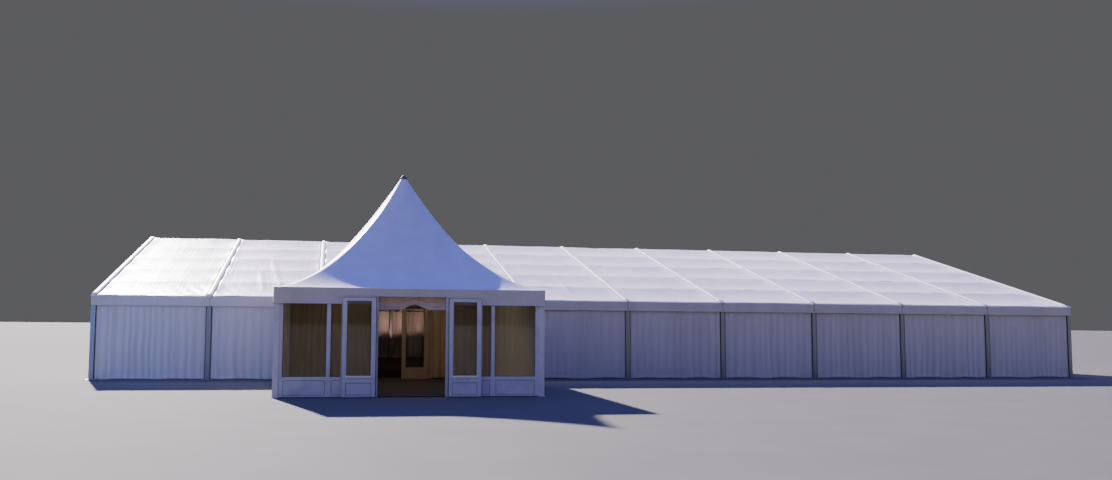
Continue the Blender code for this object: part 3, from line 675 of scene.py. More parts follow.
# Crumples above the ground, which rise and fall along it
CRUMPLE_DEPTH = 0.010
CRUMPLE_REACH = 0.15
CRUMPLE_PITCH = 0.13
CRUMPLE_TURN = 2.5
CRUMPLE_SPACING = 1.5
CRUMPLE_CHANGE = (0.5, 0.9, 9)

CURTAIN_RIPPLE = (0.004, 0.8, 3)
CURTAIN_HEM = 0.96
CURTAIN_COLUMN = 0.022
CURTAIN_ROWS = np.array([
    0.0, 0.02, 0.045, *np.linspace(0.08, 0.80, 10), 0.84, 0.87, 0.90, 0.925, 0.95, 0.967, 0.98, 1.0,
])


class Pleats:
    """Uneven vertical folds along a sheet, seeded so that each sheet has its own."""

    def __init__(self, start, end, narrow, wide, seed):
        draw = random.Random(seed)
        places = [start - wide]
        while places[-1] < end + wide:
            places.append(places[-1] + draw.uniform(narrow, wide))
        self.places = np.array(places)
        self.depths = np.array([draw.uniform(*FOLD_SHARES) for _ in places])
        self.counts = np.arange(len(places))

    def at(self, x):
        turns = np.interp(x, self.places, self.counts)
        depth = np.interp(x, self.places, self.depths)
        fold = np.cos(2 * math.pi * turns)
        return depth * np.sign(fold) * np.abs(fold) ** FOLD_SHARPNESS


def curtain(name, start, end, top, surface, outward, seed, fold_depth=FOLD_DEPTH, turned=False):
    """A pleated curtain between two posts, and its flat size. turned runs it along Y, not X."""
    pleats = Pleats(start, end, *FOLD_WIDTHS, seed)
    across = np.linspace(start, end, int((end - start) / CURTAIN_COLUMN) + 1)

    def place(u, v):
        edge = np.minimum(u - start, end - u)
        foot = mix(CURTAIN_FOOT, GROUND_CLEARANCE, smoothstep(*PLATE_CLEAR, edge))
        z = mix(top, foot, v)
        below = top - z
        above = z - foot
        free = smoothstep(0.0, FULL_BESIDE, edge)
        fullness = mix(FOLD_AT_TOP, 1, smoothstep(0.0, FULL_BELOW, below)) * mix(FOLD_AT_POST, 1, free)
        folds = fold_depth * fullness * pleats.at(u + ripple(FOLD_WANDER, u, z, seed))
        pulls = PULL_DEPTH * np.exp(-(below + edge) / PULL_REACH)
        pulls = pulls * cycle(edge + PULL_LEAN * below, PULL_PITCH)
        lift = 0.5 * np.cos(2 * math.pi * edge / CRUMPLE_SPACING) + ripple(CRUMPLE_CHANGE, u, z, seed)
        crumples = np.sin(2 * math.pi * above / CRUMPLE_PITCH + CRUMPLE_TURN * lift)
        crumples = CRUMPLE_DEPTH * np.exp(-above / CRUMPLE_REACH) * crumples
        offset = folds + free * (pulls + crumples + ripple(CURTAIN_RIPPLE, u, z, seed))
        depth = surface + outward * (offset + np.where(v > CURTAIN_HEM, HEM_THICKNESS, 0.0))
        return (depth, u, z) if turned else (u, depth, z)

    sheet = cloth(name, across, CURTAIN_ROWS, place, WALL_PVC_WARM_BOUNCE)
    return sheet, (length_across(place, across, 0.5), top - GROUND_CLEARANCE)


RAIL_HEIGHT = 0.060
RAIL_DEPTH = 0.015
RAIL_WEB = 0.005
RAIL_LIP = 0.012
RAIL_PROUD = 0.0005
WALL_SLIT = 0.014
WALL_SET_BACK = 0.008
# Dark strips beside the legs, which are painted shadow: their distances from a leg, their depths and how
# far below the eave they stop
SHADOW_TRACK_SIDES = (0.001, 0.020)
SHADOW_TRACK_DEPTHS = (0.006, 0.045)
SHADOW_TRACK_BELOW_EAVE = 0.12

# Closed walls: side, node, first bay, bay after the last, and seed of bay 0
WALLS = (
    ("front", "front_wall_left", 0, DOOR_BAY, 200),
    ("front", "front_wall_right", DOOR_BAY + 1, BAYS, 200),
    ("back", "back_wall_left", 0, 5, 250),
    ("back", "back_wall_right", 5, BAYS, 250),
)


def build_walls():
    margin = HALF_MEMBER
    top = CURTAIN_TOP - RAIL_HEIGHT / 4
    for side_name, node, first_bay, end_bay, seed in WALLS:
        face, outward = (FRONT_Y, -1) if side_name == "front" else (BACK_Y, 1)
        surface = face - outward * (CURTAIN_RECESS + WALL_SET_BACK)
        rail = build_rail(node, frame_x(first_bay) + margin, frame_x(end_bay) - margin, face, outward)
        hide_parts(node)
        for bay in range(first_bay, end_bay):
            start = frame_x(bay) + margin + WALL_SLIT
            end = frame_x(bay + 1) - margin - WALL_SLIT
            name = f"{side_name}_curtain_{bay + 1:02d}"
            sheet, flat = curtain(name, start, end, top, surface, outward, seed + bay)
            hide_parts(node)
    build_shadow_tracks()


def build_rail(node, start, end, face, outward):
    """Curtain rail: a channel with two lips, outside the legs."""
    low = CURTAIN_TOP - RAIL_HEIGHT
    near, web, front = (face + outward * (RAIL_PROUD + depth) for depth in (0, RAIL_WEB, RAIL_DEPTH))
    bars = [((start, near, low), (end, web, CURTAIN_TOP))]
    for foot, top in ((low, low + RAIL_LIP), (CURTAIN_TOP - RAIL_LIP, CURTAIN_TOP)):
        bars.append(((start, web, foot), (end, front, top)))
    return bar_piece(f"{node}_rail", bars, ALUMINIUM_SHADED, edge=0.0015)


def build_shadow_tracks():
    """Dark rubber strips on both sides of each leg, which are painted shadow in the slits between the
    curtains and the legs.
    """
    for side_name, face, outward in (("front", FRONT_Y, -1), ("back", BACK_Y, 1)):
        near, far = (face - outward * depth for depth in SHADOW_TRACK_DEPTHS)
        bars = []
        for number in range(BAYS + 1):
            for side in (-1, 1):
                if (number, side) not in ((0, -1), (BAYS, 1)):
                    x0, x1 = (frame_x(number) + side * (HALF_MEMBER + gap) for gap in SHADOW_TRACK_SIDES)
                    bars.append(((x0, near, CURTAIN_FOOT), (x1, far, EAVE_HEIGHT - SHADOW_TRACK_BELOW_EAVE)))
        bar_piece(f"{side_name}_curtain_shadow_strips", bars, RUBBER_AND_SHADOW_STRIPS, edge=0.002)


GABLE_EDGE_GAP = 0.004
GABLE_SLIT = 0.003
GABLE_OVERLAP = 0.02
GABLE_CURTAIN_OUT = 0.018
GABLE_PANEL_OUT = 0.009
GABLE_BELOW_RAFTER = 0.006
GABLE_HOLDS = (0.25, 0.12)
GABLE_BILLOW = 0.010
GABLE_BILLOW_CHANGE = (0.4, 2.6, 350)
GABLE_RIPPLE = (0.003, 0.6, 360)
GABLE_COLUMNS = 161
GABLE_ROWS = 25
GABLE_RAIL_OUT = (0.012, 0.024)
GABLE_RAIL_HEIGHTS = (-0.018, 0.030)

# Gable ends: side, outward, middle of the frame, its name and the seed of the first curtain
GABLES = (("left", -1, LEFT_X, "portal_frame_01", 300), ("right", 1, RIGHT_X, "portal_frame_11", 320))


def build_gables():
    """Gable curtains between the gable posts, and the triangles above them."""
    low = FRONT_Y + LEG_DEPTH + GABLE_EDGE_GAP
    high = BACK_Y - LEG_DEPTH - GABLE_EDGE_GAP
    spacing = SPAN / (GABLE_POSTS + 1)
    edges = [low, *(FRONT_Y + spacing * (number + 1) for number in range(GABLE_POSTS)), high]
    for side, outward, middle, holder, seed in GABLES:
        face = middle + outward * GABLE_FACE
        surface = face + outward * GABLE_CURTAIN_OUT
        for number, (start, end) in enumerate(zip(edges, edges[1:])):
            sheet, flat = curtain(
                f"gable_curtain_{side}_{number + 1}", start + GABLE_SLIT, end - GABLE_SLIT,
                CURTAIN_TOP + GABLE_OVERLAP, surface, outward, seed + number, GABLE_FOLD_DEPTH, turned=True,
            )
            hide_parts(f"gable_wall_{side}")
        build_gable_panel(side, outward, face + outward * GABLE_PANEL_OUT, low, high)


def build_gable_panel(side, outward, surface, low, high):
    drop = LEG_DEPTH / math.cos(TILT) + GABLE_BELOW_RAFTER
    side_hold, top_hold = GABLE_HOLDS

    def place(u, v):
        top = RIDGE_HEIGHT - SLOPE * np.abs(u - MIDDLE_Y) - drop
        z = mix(CURTAIN_TOP, top, v)
        inside = smoothstep(0, side_hold, np.minimum(u - low, high - u)) * smoothstep(0, top_hold, top - z)
        billow = GABLE_BILLOW * (0.6 + ripple(GABLE_BILLOW_CHANGE, u, z))
        return surface + outward * inside * (billow + ripple(GABLE_RIPPLE, u, z)), u, z

    across = np.linspace(low, high, GABLE_COLUMNS)
    sheet = cloth(f"gable_panel_{side}", across, np.linspace(0, 1, GABLE_ROWS), place, WALL_PVC_WARM_BOUNCE)
    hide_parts(f"gable_triangle_{side}")
    near, far = (surface + outward * out for out in GABLE_RAIL_OUT)
    foot, top = (CURTAIN_TOP + height for height in GABLE_RAIL_HEIGHTS)
    bar_piece(f"gable_rail_{side}", [((near, low, foot), (far, high, top))], ALUMINIUM_SHADED, edge=0.003)


# Pagoda

MEMBRANE_INSET = 0.002
MEMBRANE_RINGS = 81
RING_SPREAD = 1.2
MEMBRANE_SIDE_STEPS = 44
MEMBRANE_RIPPLE = (0.004, 1.2, 400)
RIPPLE_FROM = 0.6
RIPPLE_FADE = 0.2


def membrane(half_width, turn):
    """A point of the pagoda's membrane: half_width of its level line, turn from 0 to 4 sides."""
    share = np.maximum(1 - half_width / PAGODA_HALF, 0)
    roundness = share ** PAGODA_ROUNDING
    side = np.floor(turn)
    across = 2 * (turn - side) - 1
    along = mix(1.0, np.cos(across * math.pi / 4), roundness)
    sideways = mix(across, np.sin(across * math.pi / 4), roundness)
    angle = (side - 1) * math.pi / 2
    x = (along * np.cos(angle) - sideways * np.sin(angle)) * half_width
    y = (along * np.sin(angle) + sideways * np.cos(angle)) * half_width
    return PAGODA_X + x, PAGODA_Y + y, PAGODA_EAVE + PAGODA_RISE * share ** PAGODA_CURVE


def build_membrane():
    rings = np.linspace(0, 1, MEMBRANE_RINGS) ** RING_SPREAD
    widths = mix(PAGODA_TIP_RADIUS, PAGODA_HALF - MEMBRANE_INSET, rings)
    turns = np.arange(0, 4, 1 / MEMBRANE_SIDE_STEPS)

    def place(u, v):
        x, y, z = membrane(v, u)
        start = RIPPLE_FROM * PAGODA_HALF
        low = between(start, PAGODA_HALF, v, PAGODA_HALF - start, RIPPLE_FADE)
        return x, y, z + low * ripple(MEMBRANE_RIPPLE, x, y)

    sheet = cloth("pagoda_membrane", turns, widths, place, PAGODA_PVC_BLUE_SHADE, closed=True)
    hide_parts("pagoda_roof")


PORCH_VALANCE_GAP = 0.001
PORCH_VALANCE_DROP = 0.002
PORCH_VALANCE_STEP = 0.003
DOOR_COLUMNS = 41
SIDE_COLUMNS = 51
PORCH_VALANCE_ROWS = np.array([0.0, 0.02, 0.05, *np.linspace(0.1, 0.88, 9), 0.90, 0.905, 0.96, 1.0])
PORCH_HEM = 0.902
PORCH_SWING = (0.004, 1.3, 420)
PORCH_SWING_MOST = 0.006
CORNER_HOLD = 0.08

# Slanting pulls near a valance's corners
CORNER_PULL_DEPTH = 0.011
CORNER_PULL_REACH = 0.5
CORNER_PULL_PITCH = 0.42
CORNER_PULL_LEAN = 0.35
CORNER_PULL_SPAN = 0.85

# Fold that runs down and inwards from each corner: its slope, where it starts and fades out, how far
# the cloth stands out above and below it, and where it gets there
CORNER_FOLD_SLOPE = 0.23
CORNER_FOLD_REACH = (1.30, 0.85)
CORNER_FOLD_OUT = (0.008, 0.018)
CORNER_FOLD_START = 0.03
CORNER_FOLD_FULL = (-0.10, 0.15)


def corner_fold(reach, below_eave):
    """How far the cloth stands out at this distance from the corner and below the eave."""
    below_fold = below_eave - CORNER_FOLD_SLOPE * reach
    above, below = (smoothstep(0, full, below_fold) for full in CORNER_FOLD_FULL)
    above = above * smoothstep(0, CORNER_FOLD_START, below_eave)
    out_above, out_below = CORNER_FOLD_OUT
    return (out_above * above + out_below * below) * smoothstep(*CORNER_FOLD_REACH, reach)


def build_pagoda_valances():
    half = PAGODA_HALF - PORCH_VALANCE_GAP
    door_edge = DOORWAY_HALF - PORCH_VALANCE_STEP
    outer = np.linspace(DOORWAY_HALF, half, SIDE_COLUMNS)
    across = np.concatenate([-outer[::-1], np.linspace(-door_edge, door_edge, DOOR_COLUMNS), outer])
    for number, side_name in enumerate(("front", "right", "back", "left")):
        angle = number * math.pi / 2
        over_door = PAGODA_VALANCE_OVER_DOOR if side_name == "front" else PAGODA_VALANCE_DEPTH

        def place(u, v):
            drop = v * np.where(np.abs(u) < DOORWAY_HALF, over_door, PAGODA_VALANCE_DEPTH)
            z = PAGODA_EAVE - PORCH_VALANCE_DROP - drop
            reach = half - np.abs(u)
            swing = np.minimum(v * ripple(PORCH_SWING, u, z, number), PORCH_SWING_MOST)
            pulls = np.exp(-reach / CORNER_PULL_REACH) * np.sin(CORNER_PULL_SPAN * math.pi * v)
            pulls = CORNER_PULL_DEPTH * pulls * cycle(reach + v * CORNER_PULL_LEAN, CORNER_PULL_PITCH)
            swing = (swing + pulls + corner_fold(reach, drop)) * smoothstep(0, CORNER_HOLD, reach)
            out = half - PORCH_VALANCE_GAP + swing + np.where(v > PORCH_HEM, HEM_THICKNESS, 0.0)
            x = u * math.cos(angle) + out * math.sin(angle)
            y = u * math.sin(angle) - out * math.cos(angle)
            return PAGODA_X + x, PAGODA_Y + y, z

        sheet = cloth(f"pagoda_valance_{side_name}", across, PORCH_VALANCE_ROWS, place, WALL_PVC_WARM_BOUNCE)
        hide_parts("pagoda_roof")


WELT_RADIUS = 0.008
WELT_INSET = 0.004
WELT_RISE = 0.002
WELT_SIDES = 8
WELT_STEPS = 24


def build_eave_welt():
    """Welt along the pagoda's eave, where the valance meets the membrane."""
    half = PAGODA_HALF - WELT_INSET
    corners = [(-half, -half), (half, -half), (half, half), (-half, half)]
    turns = [2 * math.pi * side / WELT_SIDES for side in range(WELT_SIDES)]
    bm = bmesh.new()
    rings = []
    for start, end in zip(corners, corners[1:] + corners[:1]):
        for share in np.linspace(0, 1, WELT_STEPS, endpoint=False):
            x, y = (mix(first, last, share) for first, last in zip(start, end))
            away_x, away_y = (place / half if math.isclose(abs(place), half) else 0.0 for place in (x, y))
            ring = []
            for turn in turns:
                out = WELT_RADIUS * math.cos(turn)
                z = PAGODA_EAVE + WELT_RISE + WELT_RADIUS * math.sin(turn)
                ring.append(bm.verts.new((PAGODA_X + x + away_x * out, PAGODA_Y + y + away_y * out, z)))
            rings.append(ring)
    for ring, after in zip(rings, rings[1:] + rings[:1]):
        for side in range(WELT_SIDES):
            beside = (side + 1) % WELT_SIDES
            bm.faces.new((ring[side], after[side], after[beside], ring[beside]))
    solid_piece("pagoda_eave_welt", bm, SEAM_PVC_HIGHLIGHT, smooth=True)


PORCH_WALL_GAP = 0.006
PORCH_WALL_DROP = 0.001
PORCH_WALL_SEED = 440


def build_pagoda_walls():
    half = LEG_FACE - PAGODA_LEG - PORCH_WALL_GAP
    for number, (side, outward) in enumerate((("left", -1), ("right", 1))):
        surface = PAGODA_X + outward * (LEG_FACE - CURTAIN_RECESS - PORCH_WALL_GAP)
        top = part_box(f"pagoda_wall_{side}")[1].z - PORCH_WALL_DROP
        sheet, flat = curtain(
            f"pagoda_curtain_{side}", PAGODA_Y - half, PAGODA_Y + half, top, surface, outward,
            PORCH_WALL_SEED + number, turned=True,
        )
        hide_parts(f"pagoda_wall_{side}")


# Doors and glazing

BEAD = 0.014
BEAD_DEPTH = 0.006
LEAF_BEAD_GAP = 0.003
SCREEN_BEAD_GAP = 0.004
GASKET_GAP = 0.0005
GASKET_INSET = Vector((0.8 * BEAD, 0.8 * BEAD, 0.8 * BEAD))
LEAF_GASKET_DEPTH = 0.4 * BEAD_DEPTH
SCREEN_GASKET_DEPTH = 0.5 * BEAD_DEPTH


def bead_bars(low, high, pane, outward, gap, normal=1):
    near = pane + outward * gap
    return frame_bars(low, high, near, near + outward * BEAD_DEPTH, BEAD, normal)


def gasket_bars(low, high, pane, outward, depth, normal=1):
    near = pane + outward * GASKET_GAP
    return frame_bars(low + GASKET_INSET, high - GASKET_INSET, near, near + outward * depth, BEAD, normal)


def build_beads():
    leaves = (
        ("entrance_door_left", 1, WHITE_PAINT), ("entrance_door_right", 1, WHITE_PAINT),
        ("inner_door_left", 0, CREAM_PAINT_SHADED), ("inner_door_right", 1, CREAM_PAINT_SHADED),
    )
    for node, normal, paint in leaves:
        low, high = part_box(f"{node}_glass")
        beads = []
        gaskets = []
        for outward, pane in ((-1, low[normal]), (1, high[normal])):
            beads += bead_bars(low, high, pane, outward, LEAF_BEAD_GAP, normal)
            gaskets += gasket_bars(low, high, pane, outward, LEAF_GASKET_DEPTH, normal)
        bar_piece(f"{node}_beads", beads, paint, f"{node}_leaf", edge=0.0015)
        bar_piece(f"{node}_gasket", gaskets, RUBBER_AND_SHADOW_STRIPS, f"{node}_leaf")


def screen_openings():
    """Left and right edges of the fixed screens' glass, on both sides of the doorway."""
    panel = (LEG_FACE - PAGODA_LEG - DOORWAY_HALF - 2 * SCREEN_POST) / 2
    openings = []
    for side in (-1, 1):
        for near in (DOORWAY_HALF, DOORWAY_HALF + panel + SCREEN_POST):
            openings.append(sorted((PAGODA_X + side * near, PAGODA_X + side * (near + panel))))
    return openings


def build_screen_beads():
    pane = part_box("screen_glass_left")[0].y
    beads = []
    gaskets = []
    for x0, x1 in screen_openings():
        low = Vector((x0, 0, SCREEN_SILL_TOP))
        high = Vector((x1, 0, SCREEN_HIGH.z - SCREEN_POST))
        beads += bead_bars(low, high, pane, -1, SCREEN_BEAD_GAP)
        gaskets += gasket_bars(low, high, pane, -1, SCREEN_GASKET_DEPTH)
    bar_piece("entrance_screen_beads", beads, WHITE_PAINT, edge=0.0015)
    bar_piece("entrance_screen_gasket", gaskets, RUBBER_AND_SHADOW_STRIPS)


WEATHER_BAR_HEIGHT = 0.040
WEATHER_BAR_REACH = 0.016
WEATHER_BAR_EDGE = 0.004
WEATHER_BAR_PAST_GLASS = 0.010


def build_weather_bars():
    """Sloped bars at the foot of the entrance leaves' glass, on the face that shows when open. Their pale
    cream paint is a painted highlight.
    """
    for side in ("left", "right"):
        name = f"entrance_door_{side}"
        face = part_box(name)[0].y
        glass_low, glass_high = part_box(f"{name}_glass")
        foot = glass_low.z
        back = face + WEATHER_BAR_EDGE
        front = face - WEATHER_BAR_REACH
        profile = (
            (back, foot - WEATHER_BAR_EDGE), (front, foot - WEATHER_BAR_EDGE),
            (front, foot + WEATHER_BAR_EDGE), (back, foot + WEATHER_BAR_HEIGHT),
        )
        bm = bmesh.new()
        edges = (glass_low.x - WEATHER_BAR_PAST_GLASS, glass_high.x + WEATHER_BAR_PAST_GLASS)
        ends = [[bm.verts.new((x, y, z)) for y, z in profile] for x in edges]
        bm.faces.new(ends[0])
        bm.faces.new(ends[1])
        for step in range(len(profile)):
            after = (step + 1) % len(profile)
            bm.faces.new((ends[0][step], ends[0][after], ends[1][after], ends[1][step]))
        soften(solid_piece(f"{name}_weather_bar", bm, SILL_PAINT_HIGHLIGHT, f"{name}_leaf"), 0.0015)


# Dark strips round the entrance leaves, at their hinges and round the kick panels, which are painted shadow
# lines
SHADOW_SEAL_INSET = 0.009
SHADOW_SEAL_WIDTH = 0.006
SHADOW_SEAL_PROUD = 0.003
SHADOW_SEAL_SUNK = 0.001
KICK_SHADOW_SEAL_WIDTH = 0.007
KICK_SHADOW_SEAL_PROUD = 0.004


def build_door_shadow_seals():
    """Dark strips round the leaves' inner faces and the kick panels, and along the hinge edges. They are
    painted shadow lines for the gaps round the leaves and the kick panels' recesses.
    """
    half = LEAF_WIDTH / 2
    edge = half - SHADOW_SEAL_INSET
    kick = half - STILE
    for side, hinge in (("left", 1), ("right", -1)):
        name = f"entrance_door_{side}"
        low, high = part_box(name)
        glass_low, glass_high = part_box(f"{name}_glass")
        middle = (glass_low.x + glass_high.x) / 2
        foot, head = low.z + SHADOW_SEAL_INSET, high.z - SHADOW_SEAL_INSET
        near, far = low.y - SHADOW_SEAL_PROUD, low.y + SHADOW_SEAL_SUNK
        bars = frame_bars((middle - edge, 0, foot), (middle + edge, 0, head), near, far, SHADOW_SEAL_WIDTH)
        outer, inner = (middle + hinge * (place - SHADOW_SEAL_SUNK) for place in (half, edge))
        bars.append(((outer, near, foot), (inner, far, head)))
        kick_low = (middle - kick, 0, low.z + BOTTOM_RAIL)
        kick_high = (middle + kick, 0, low.z + SILL_RAIL_TOP - SILL_RAIL)
        for face, inward in ((low.y + KICK_RECESS, 1), (low.y + LEAF_THICKNESS - KICK_RECESS, -1)):
            near, far = face - inward * KICK_SHADOW_SEAL_PROUD, face + inward * SHADOW_SEAL_SUNK
            bars += frame_bars(kick_low, kick_high, near, far, KICK_SHADOW_SEAL_WIDTH)
        # Painted shadow lines round this leaf, its hinge edge and its kick panels
        bar_piece(f"{name}_seal", bars, RUBBER_AND_SHADOW_STRIPS, f"{name}_leaf", edge=0.001, segments=1)
    bars = []
    face = PORCH_FACE + SCREEN_RECESS + KICK_RECESS
    for x0, x1 in screen_openings():
        low = (x0 + SCREEN_POST / 2, 0, SCREEN_LOW.z + BOTTOM_RAIL)
        high = (x1 - SCREEN_POST / 2, 0, SCREEN_SILL_TOP - SCREEN_SILL_RAIL)
        bars += frame_bars(low, high, face - KICK_SHADOW_SEAL_PROUD, face + SHADOW_SEAL_SUNK, KICK_SHADOW_SEAL_WIDTH)
    bar_piece("entrance_screen_shadow_seal", bars, RUBBER_AND_SHADOW_STRIPS, edge=0.001, segments=1)


THRESHOLD_GAP = 0.004
THRESHOLD_SET_BACK = 0.010
THRESHOLD_HEIGHT = 0.003
RIBS = 4
RIB_START = 0.016
RIB_SPACING = 0.014
RIB_WIDTH = 0.005
RIB_HEIGHT = 0.0015


def build_threshold():
    """Ribbed metal strip where the porch floor meets the tent floor in the inner doorway."""
    low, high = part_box("inner_door_frame")
    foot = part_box("pagoda_floor")[1].z
    top = foot + THRESHOLD_HEIGHT
    start, end = low.x + JAMB_WIDTH + THRESHOLD_GAP, high.x - JAMB_WIDTH - THRESHOLD_GAP
    bars = [((start, low.y + THRESHOLD_SET_BACK, foot), (end, high.y - THRESHOLD_GAP, top))]
    for rib in range(RIBS):
        y = low.y + RIB_START + rib * RIB_SPACING
        bars.append(((start, y, top), (end, y + RIB_WIDTH, top + RIB_HEIGHT)))
    bar_piece("inner_doorway_threshold", bars, ALUMINIUM_SHADED, edge=0.001, segments=1)


BRACE_FOOT = 0.18
BRACE_BELOW_EAVE = 0.22
BRACE_GAP = 0.004
BRACE_IN_LEG = 0.7
BRACE_APART = 0.012
BRACE_BELOW_RAFTER = 0.15
BRACE_FROM_PURLIN = 0.2
BRACED_FIELDS = ((0, 2), (2, 5))
CABLE_RADIUS = 0.004
TURNBUCKLE_PLACE = 0.35
ANCHOR_HALF = Vector((0.006, 0, 0))
ANCHOR_RADIUS = 0.022

# Parts of a turnbuckle: offset from its middle, half length, radius and sides
TURNBUCKLE_PARTS = ((0.0, 0.11, 0.011, 8), (-0.13, 0.015, 0.008, 6), (0.13, 0.015, 0.008, 6))


def rod_between(bm, start, end, radius, sides):
    verts = add_cylinder(bm, radius, (end - start).length, sides)
    turn = (end - start).to_track_quat("Z", "Y").to_matrix().to_4x4()
    bmesh.ops.transform(bm, matrix=Matrix.Translation((start + end) / 2) @ turn, verts=verts)


def add_cable(bm, start, end):
    """Adds a taut cable with a turnbuckle near its start and an anchor at each end."""
    start, end = Vector(start), Vector(end)
    along = (end - start).normalized()
    rod_between(bm, start, end, CABLE_RADIUS, 6)
    for offset, half, radius, sides in TURNBUCKLE_PARTS:
        middle = start + along * (TURNBUCKLE_PLACE + offset)
        rod_between(bm, middle - along * half, middle + along * half, radius, sides)
    for place in (start, end):
        rod_between(bm, place - ANCHOR_HALF, place + ANCHOR_HALF, ANCHOR_RADIUS, 10)


def build_bracing():
    """Crossed tension cables with turnbuckles inside the walls and roof of both end bays."""
    wall = (BRACE_FOOT, EAVE_HEIGHT - BRACE_BELOW_EAVE)
    in_leg = LEG_DEPTH * BRACE_IN_LEG
    inside = HALF_MEMBER + BRACE_GAP
    rests = rest_places()
    bm = bmesh.new()
    for bay in (0, BAYS - 1):
        x0 = frame_x(bay) + inside
        x1 = frame_x(bay + 1) - inside
        for y in (FRONT_Y + in_leg, BACK_Y - in_leg):
            for number, (first, second) in enumerate((wall, wall[::-1])):
                beside = y + BRACE_APART * number
                add_cable(bm, (x0, beside, first), (x1, beside, second))
        for side in (-1, 1):
            for near, far in BRACED_FIELDS:
                field = (rests[near] + BRACE_FROM_PURLIN, rests[far] - BRACE_FROM_PURLIN)
                for number, distances in enumerate((field, field[::-1])):
                    top = RIDGE_HEIGHT - BRACE_BELOW_RAFTER - BRACE_APART * number
                    first, second = ((MIDDLE_Y + side * d, top - SLOPE * d) for d in distances)
                    add_cable(bm, (x0, *first), (x1, *second))
    solid_piece("bracing_cables", bm, STEEL)


# Soft furnishings

DRAPES = (("left", 500), ("right", 507))
DRAPE_FOLDS = (0.10, 0.24)
DRAPE_FINE_FOLDS = (0.05, 0.11)
FINE_SEED = 20
DRAPE_EDGE = 0.004
DRAPE_COLUMNS = 181
DRAPE_ROWS = np.concatenate([np.linspace(0, 0.9, 27), np.linspace(0.92, 1, 9)])
DRAPE_HEM = 0.004
DRAPE_SCALLOP = 0.028
DRAPE_SCALLOP_CHANGE = (0.5, 0.34, 2)
DRAPE_DRIFT = (0.03, 1.1, 1)
DRAPE_KICK = (0.006, 0.2, 4)

# Depths of the broad and the fine folds at the head and at the foot
BROAD_DEPTHS = (0.010, 0.018)
FINE_DEPTHS = (0.006, 0.003)

# Shares of the way down: broad folds full, foot starts to kick, length of the folds is measured
FULL_AT = 0.7
KICK_FROM = 0.93
MEASURED_AT = 0.6


def build_drapes():
    """Full drapes with soft uneven folds and a scalloped hem just above the floor."""
    for side, seed in DRAPES:
        low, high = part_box(f"inner_drape_{side}")
        pleats = Pleats(low.x, high.x, *DRAPE_FOLDS, seed)
        fine = Pleats(low.x, high.x, *DRAPE_FINE_FOLDS, seed + FINE_SEED)
        across = np.linspace(low.x + DRAPE_EDGE, high.x - DRAPE_EDGE, DRAPE_COLUMNS)
        middle = (low.y + high.y) / 2

        def place(u, v):
            hem = DRAPE_HEM + DRAPE_SCALLOP * (0.5 + ripple(DRAPE_SCALLOP_CHANGE, u, 0 * u, seed))
            z = mix(high.z, low.z + hem, v)
            drift = v * ripple(DRAPE_DRIFT, u, z, seed)
            broad = mix(*BROAD_DEPTHS, smoothstep(0.0, FULL_AT, v)) * pleats.at(u + drift)
            small = mix(*FINE_DEPTHS, v) * fine.at(u + 0.5 * drift)
            kick = smoothstep(KICK_FROM, 1.0, v) * ripple(DRAPE_KICK, u, 0 * u, seed)
            return u, middle + broad + small + kick, z

        sheet = cloth(f"inner_drape_cloth_{side}", across, DRAPE_ROWS, place, DRAPE, CLOTH)
        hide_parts(f"inner_drape_{side}")
        length = length_across(place, across, MEASURED_AT)


# Swag as in the model, and its header's drops
SWAG_DROP_SIDE = 0.290
SWAG_DROP_MIDDLE = 0.170
SWAG_PEAK_FROM_MIDDLE = 0.055
SWAG_PEAK_HALF = 0.32
HEAD_HEIGHT = 0.052
HEADER_DROP_SIDE = 0.150
HEADER_DROP_MIDDLE = 0.070

SWAG_EDGE = 0.002
BAND_OVERLAP = 0.025
BAND_SET_BACK = 0.022
BAND_ROLL = 0.012
BAND_FOLDS = 2.6
BAND_FOLD_DEPTH = 0.0055
BAND_GATHER = (0.004, 0.22, 520)
BAND_WANDER = (0.10, 0.5, 521)
BAND_RIPPLE = (0.002, 0.09, 522)
HEADER_SET_BACK = 0.030
HEADER_DROP = 0.001
HEADER_PLEATS = (0.030, 0.065)
HEADER_PLEAT_DEPTH = 0.0035
HEADER_SEED = 530
HEADER_WANDER = (0.02, 0.3, 531)
HEADER_RIPPLE = (0.003, 0.12, 532)
SWAG_RAIL_GAP = 0.001
SWAG_RAIL_DEPTHS = (-0.0002, 0.012)
SWAG_RAIL_HEIGHTS = (-0.012, 0.006)


def ogee(x):
    """0 beside the swag's peak, rising to 1 at its point, as in the model."""
    near = np.maximum(0.0, 1 - np.abs(x - PAGODA_X - SWAG_PEAK_FROM_MIDDLE) / SWAG_PEAK_HALF)
    return (near * near * (3 - 2 * near) + near) / 2


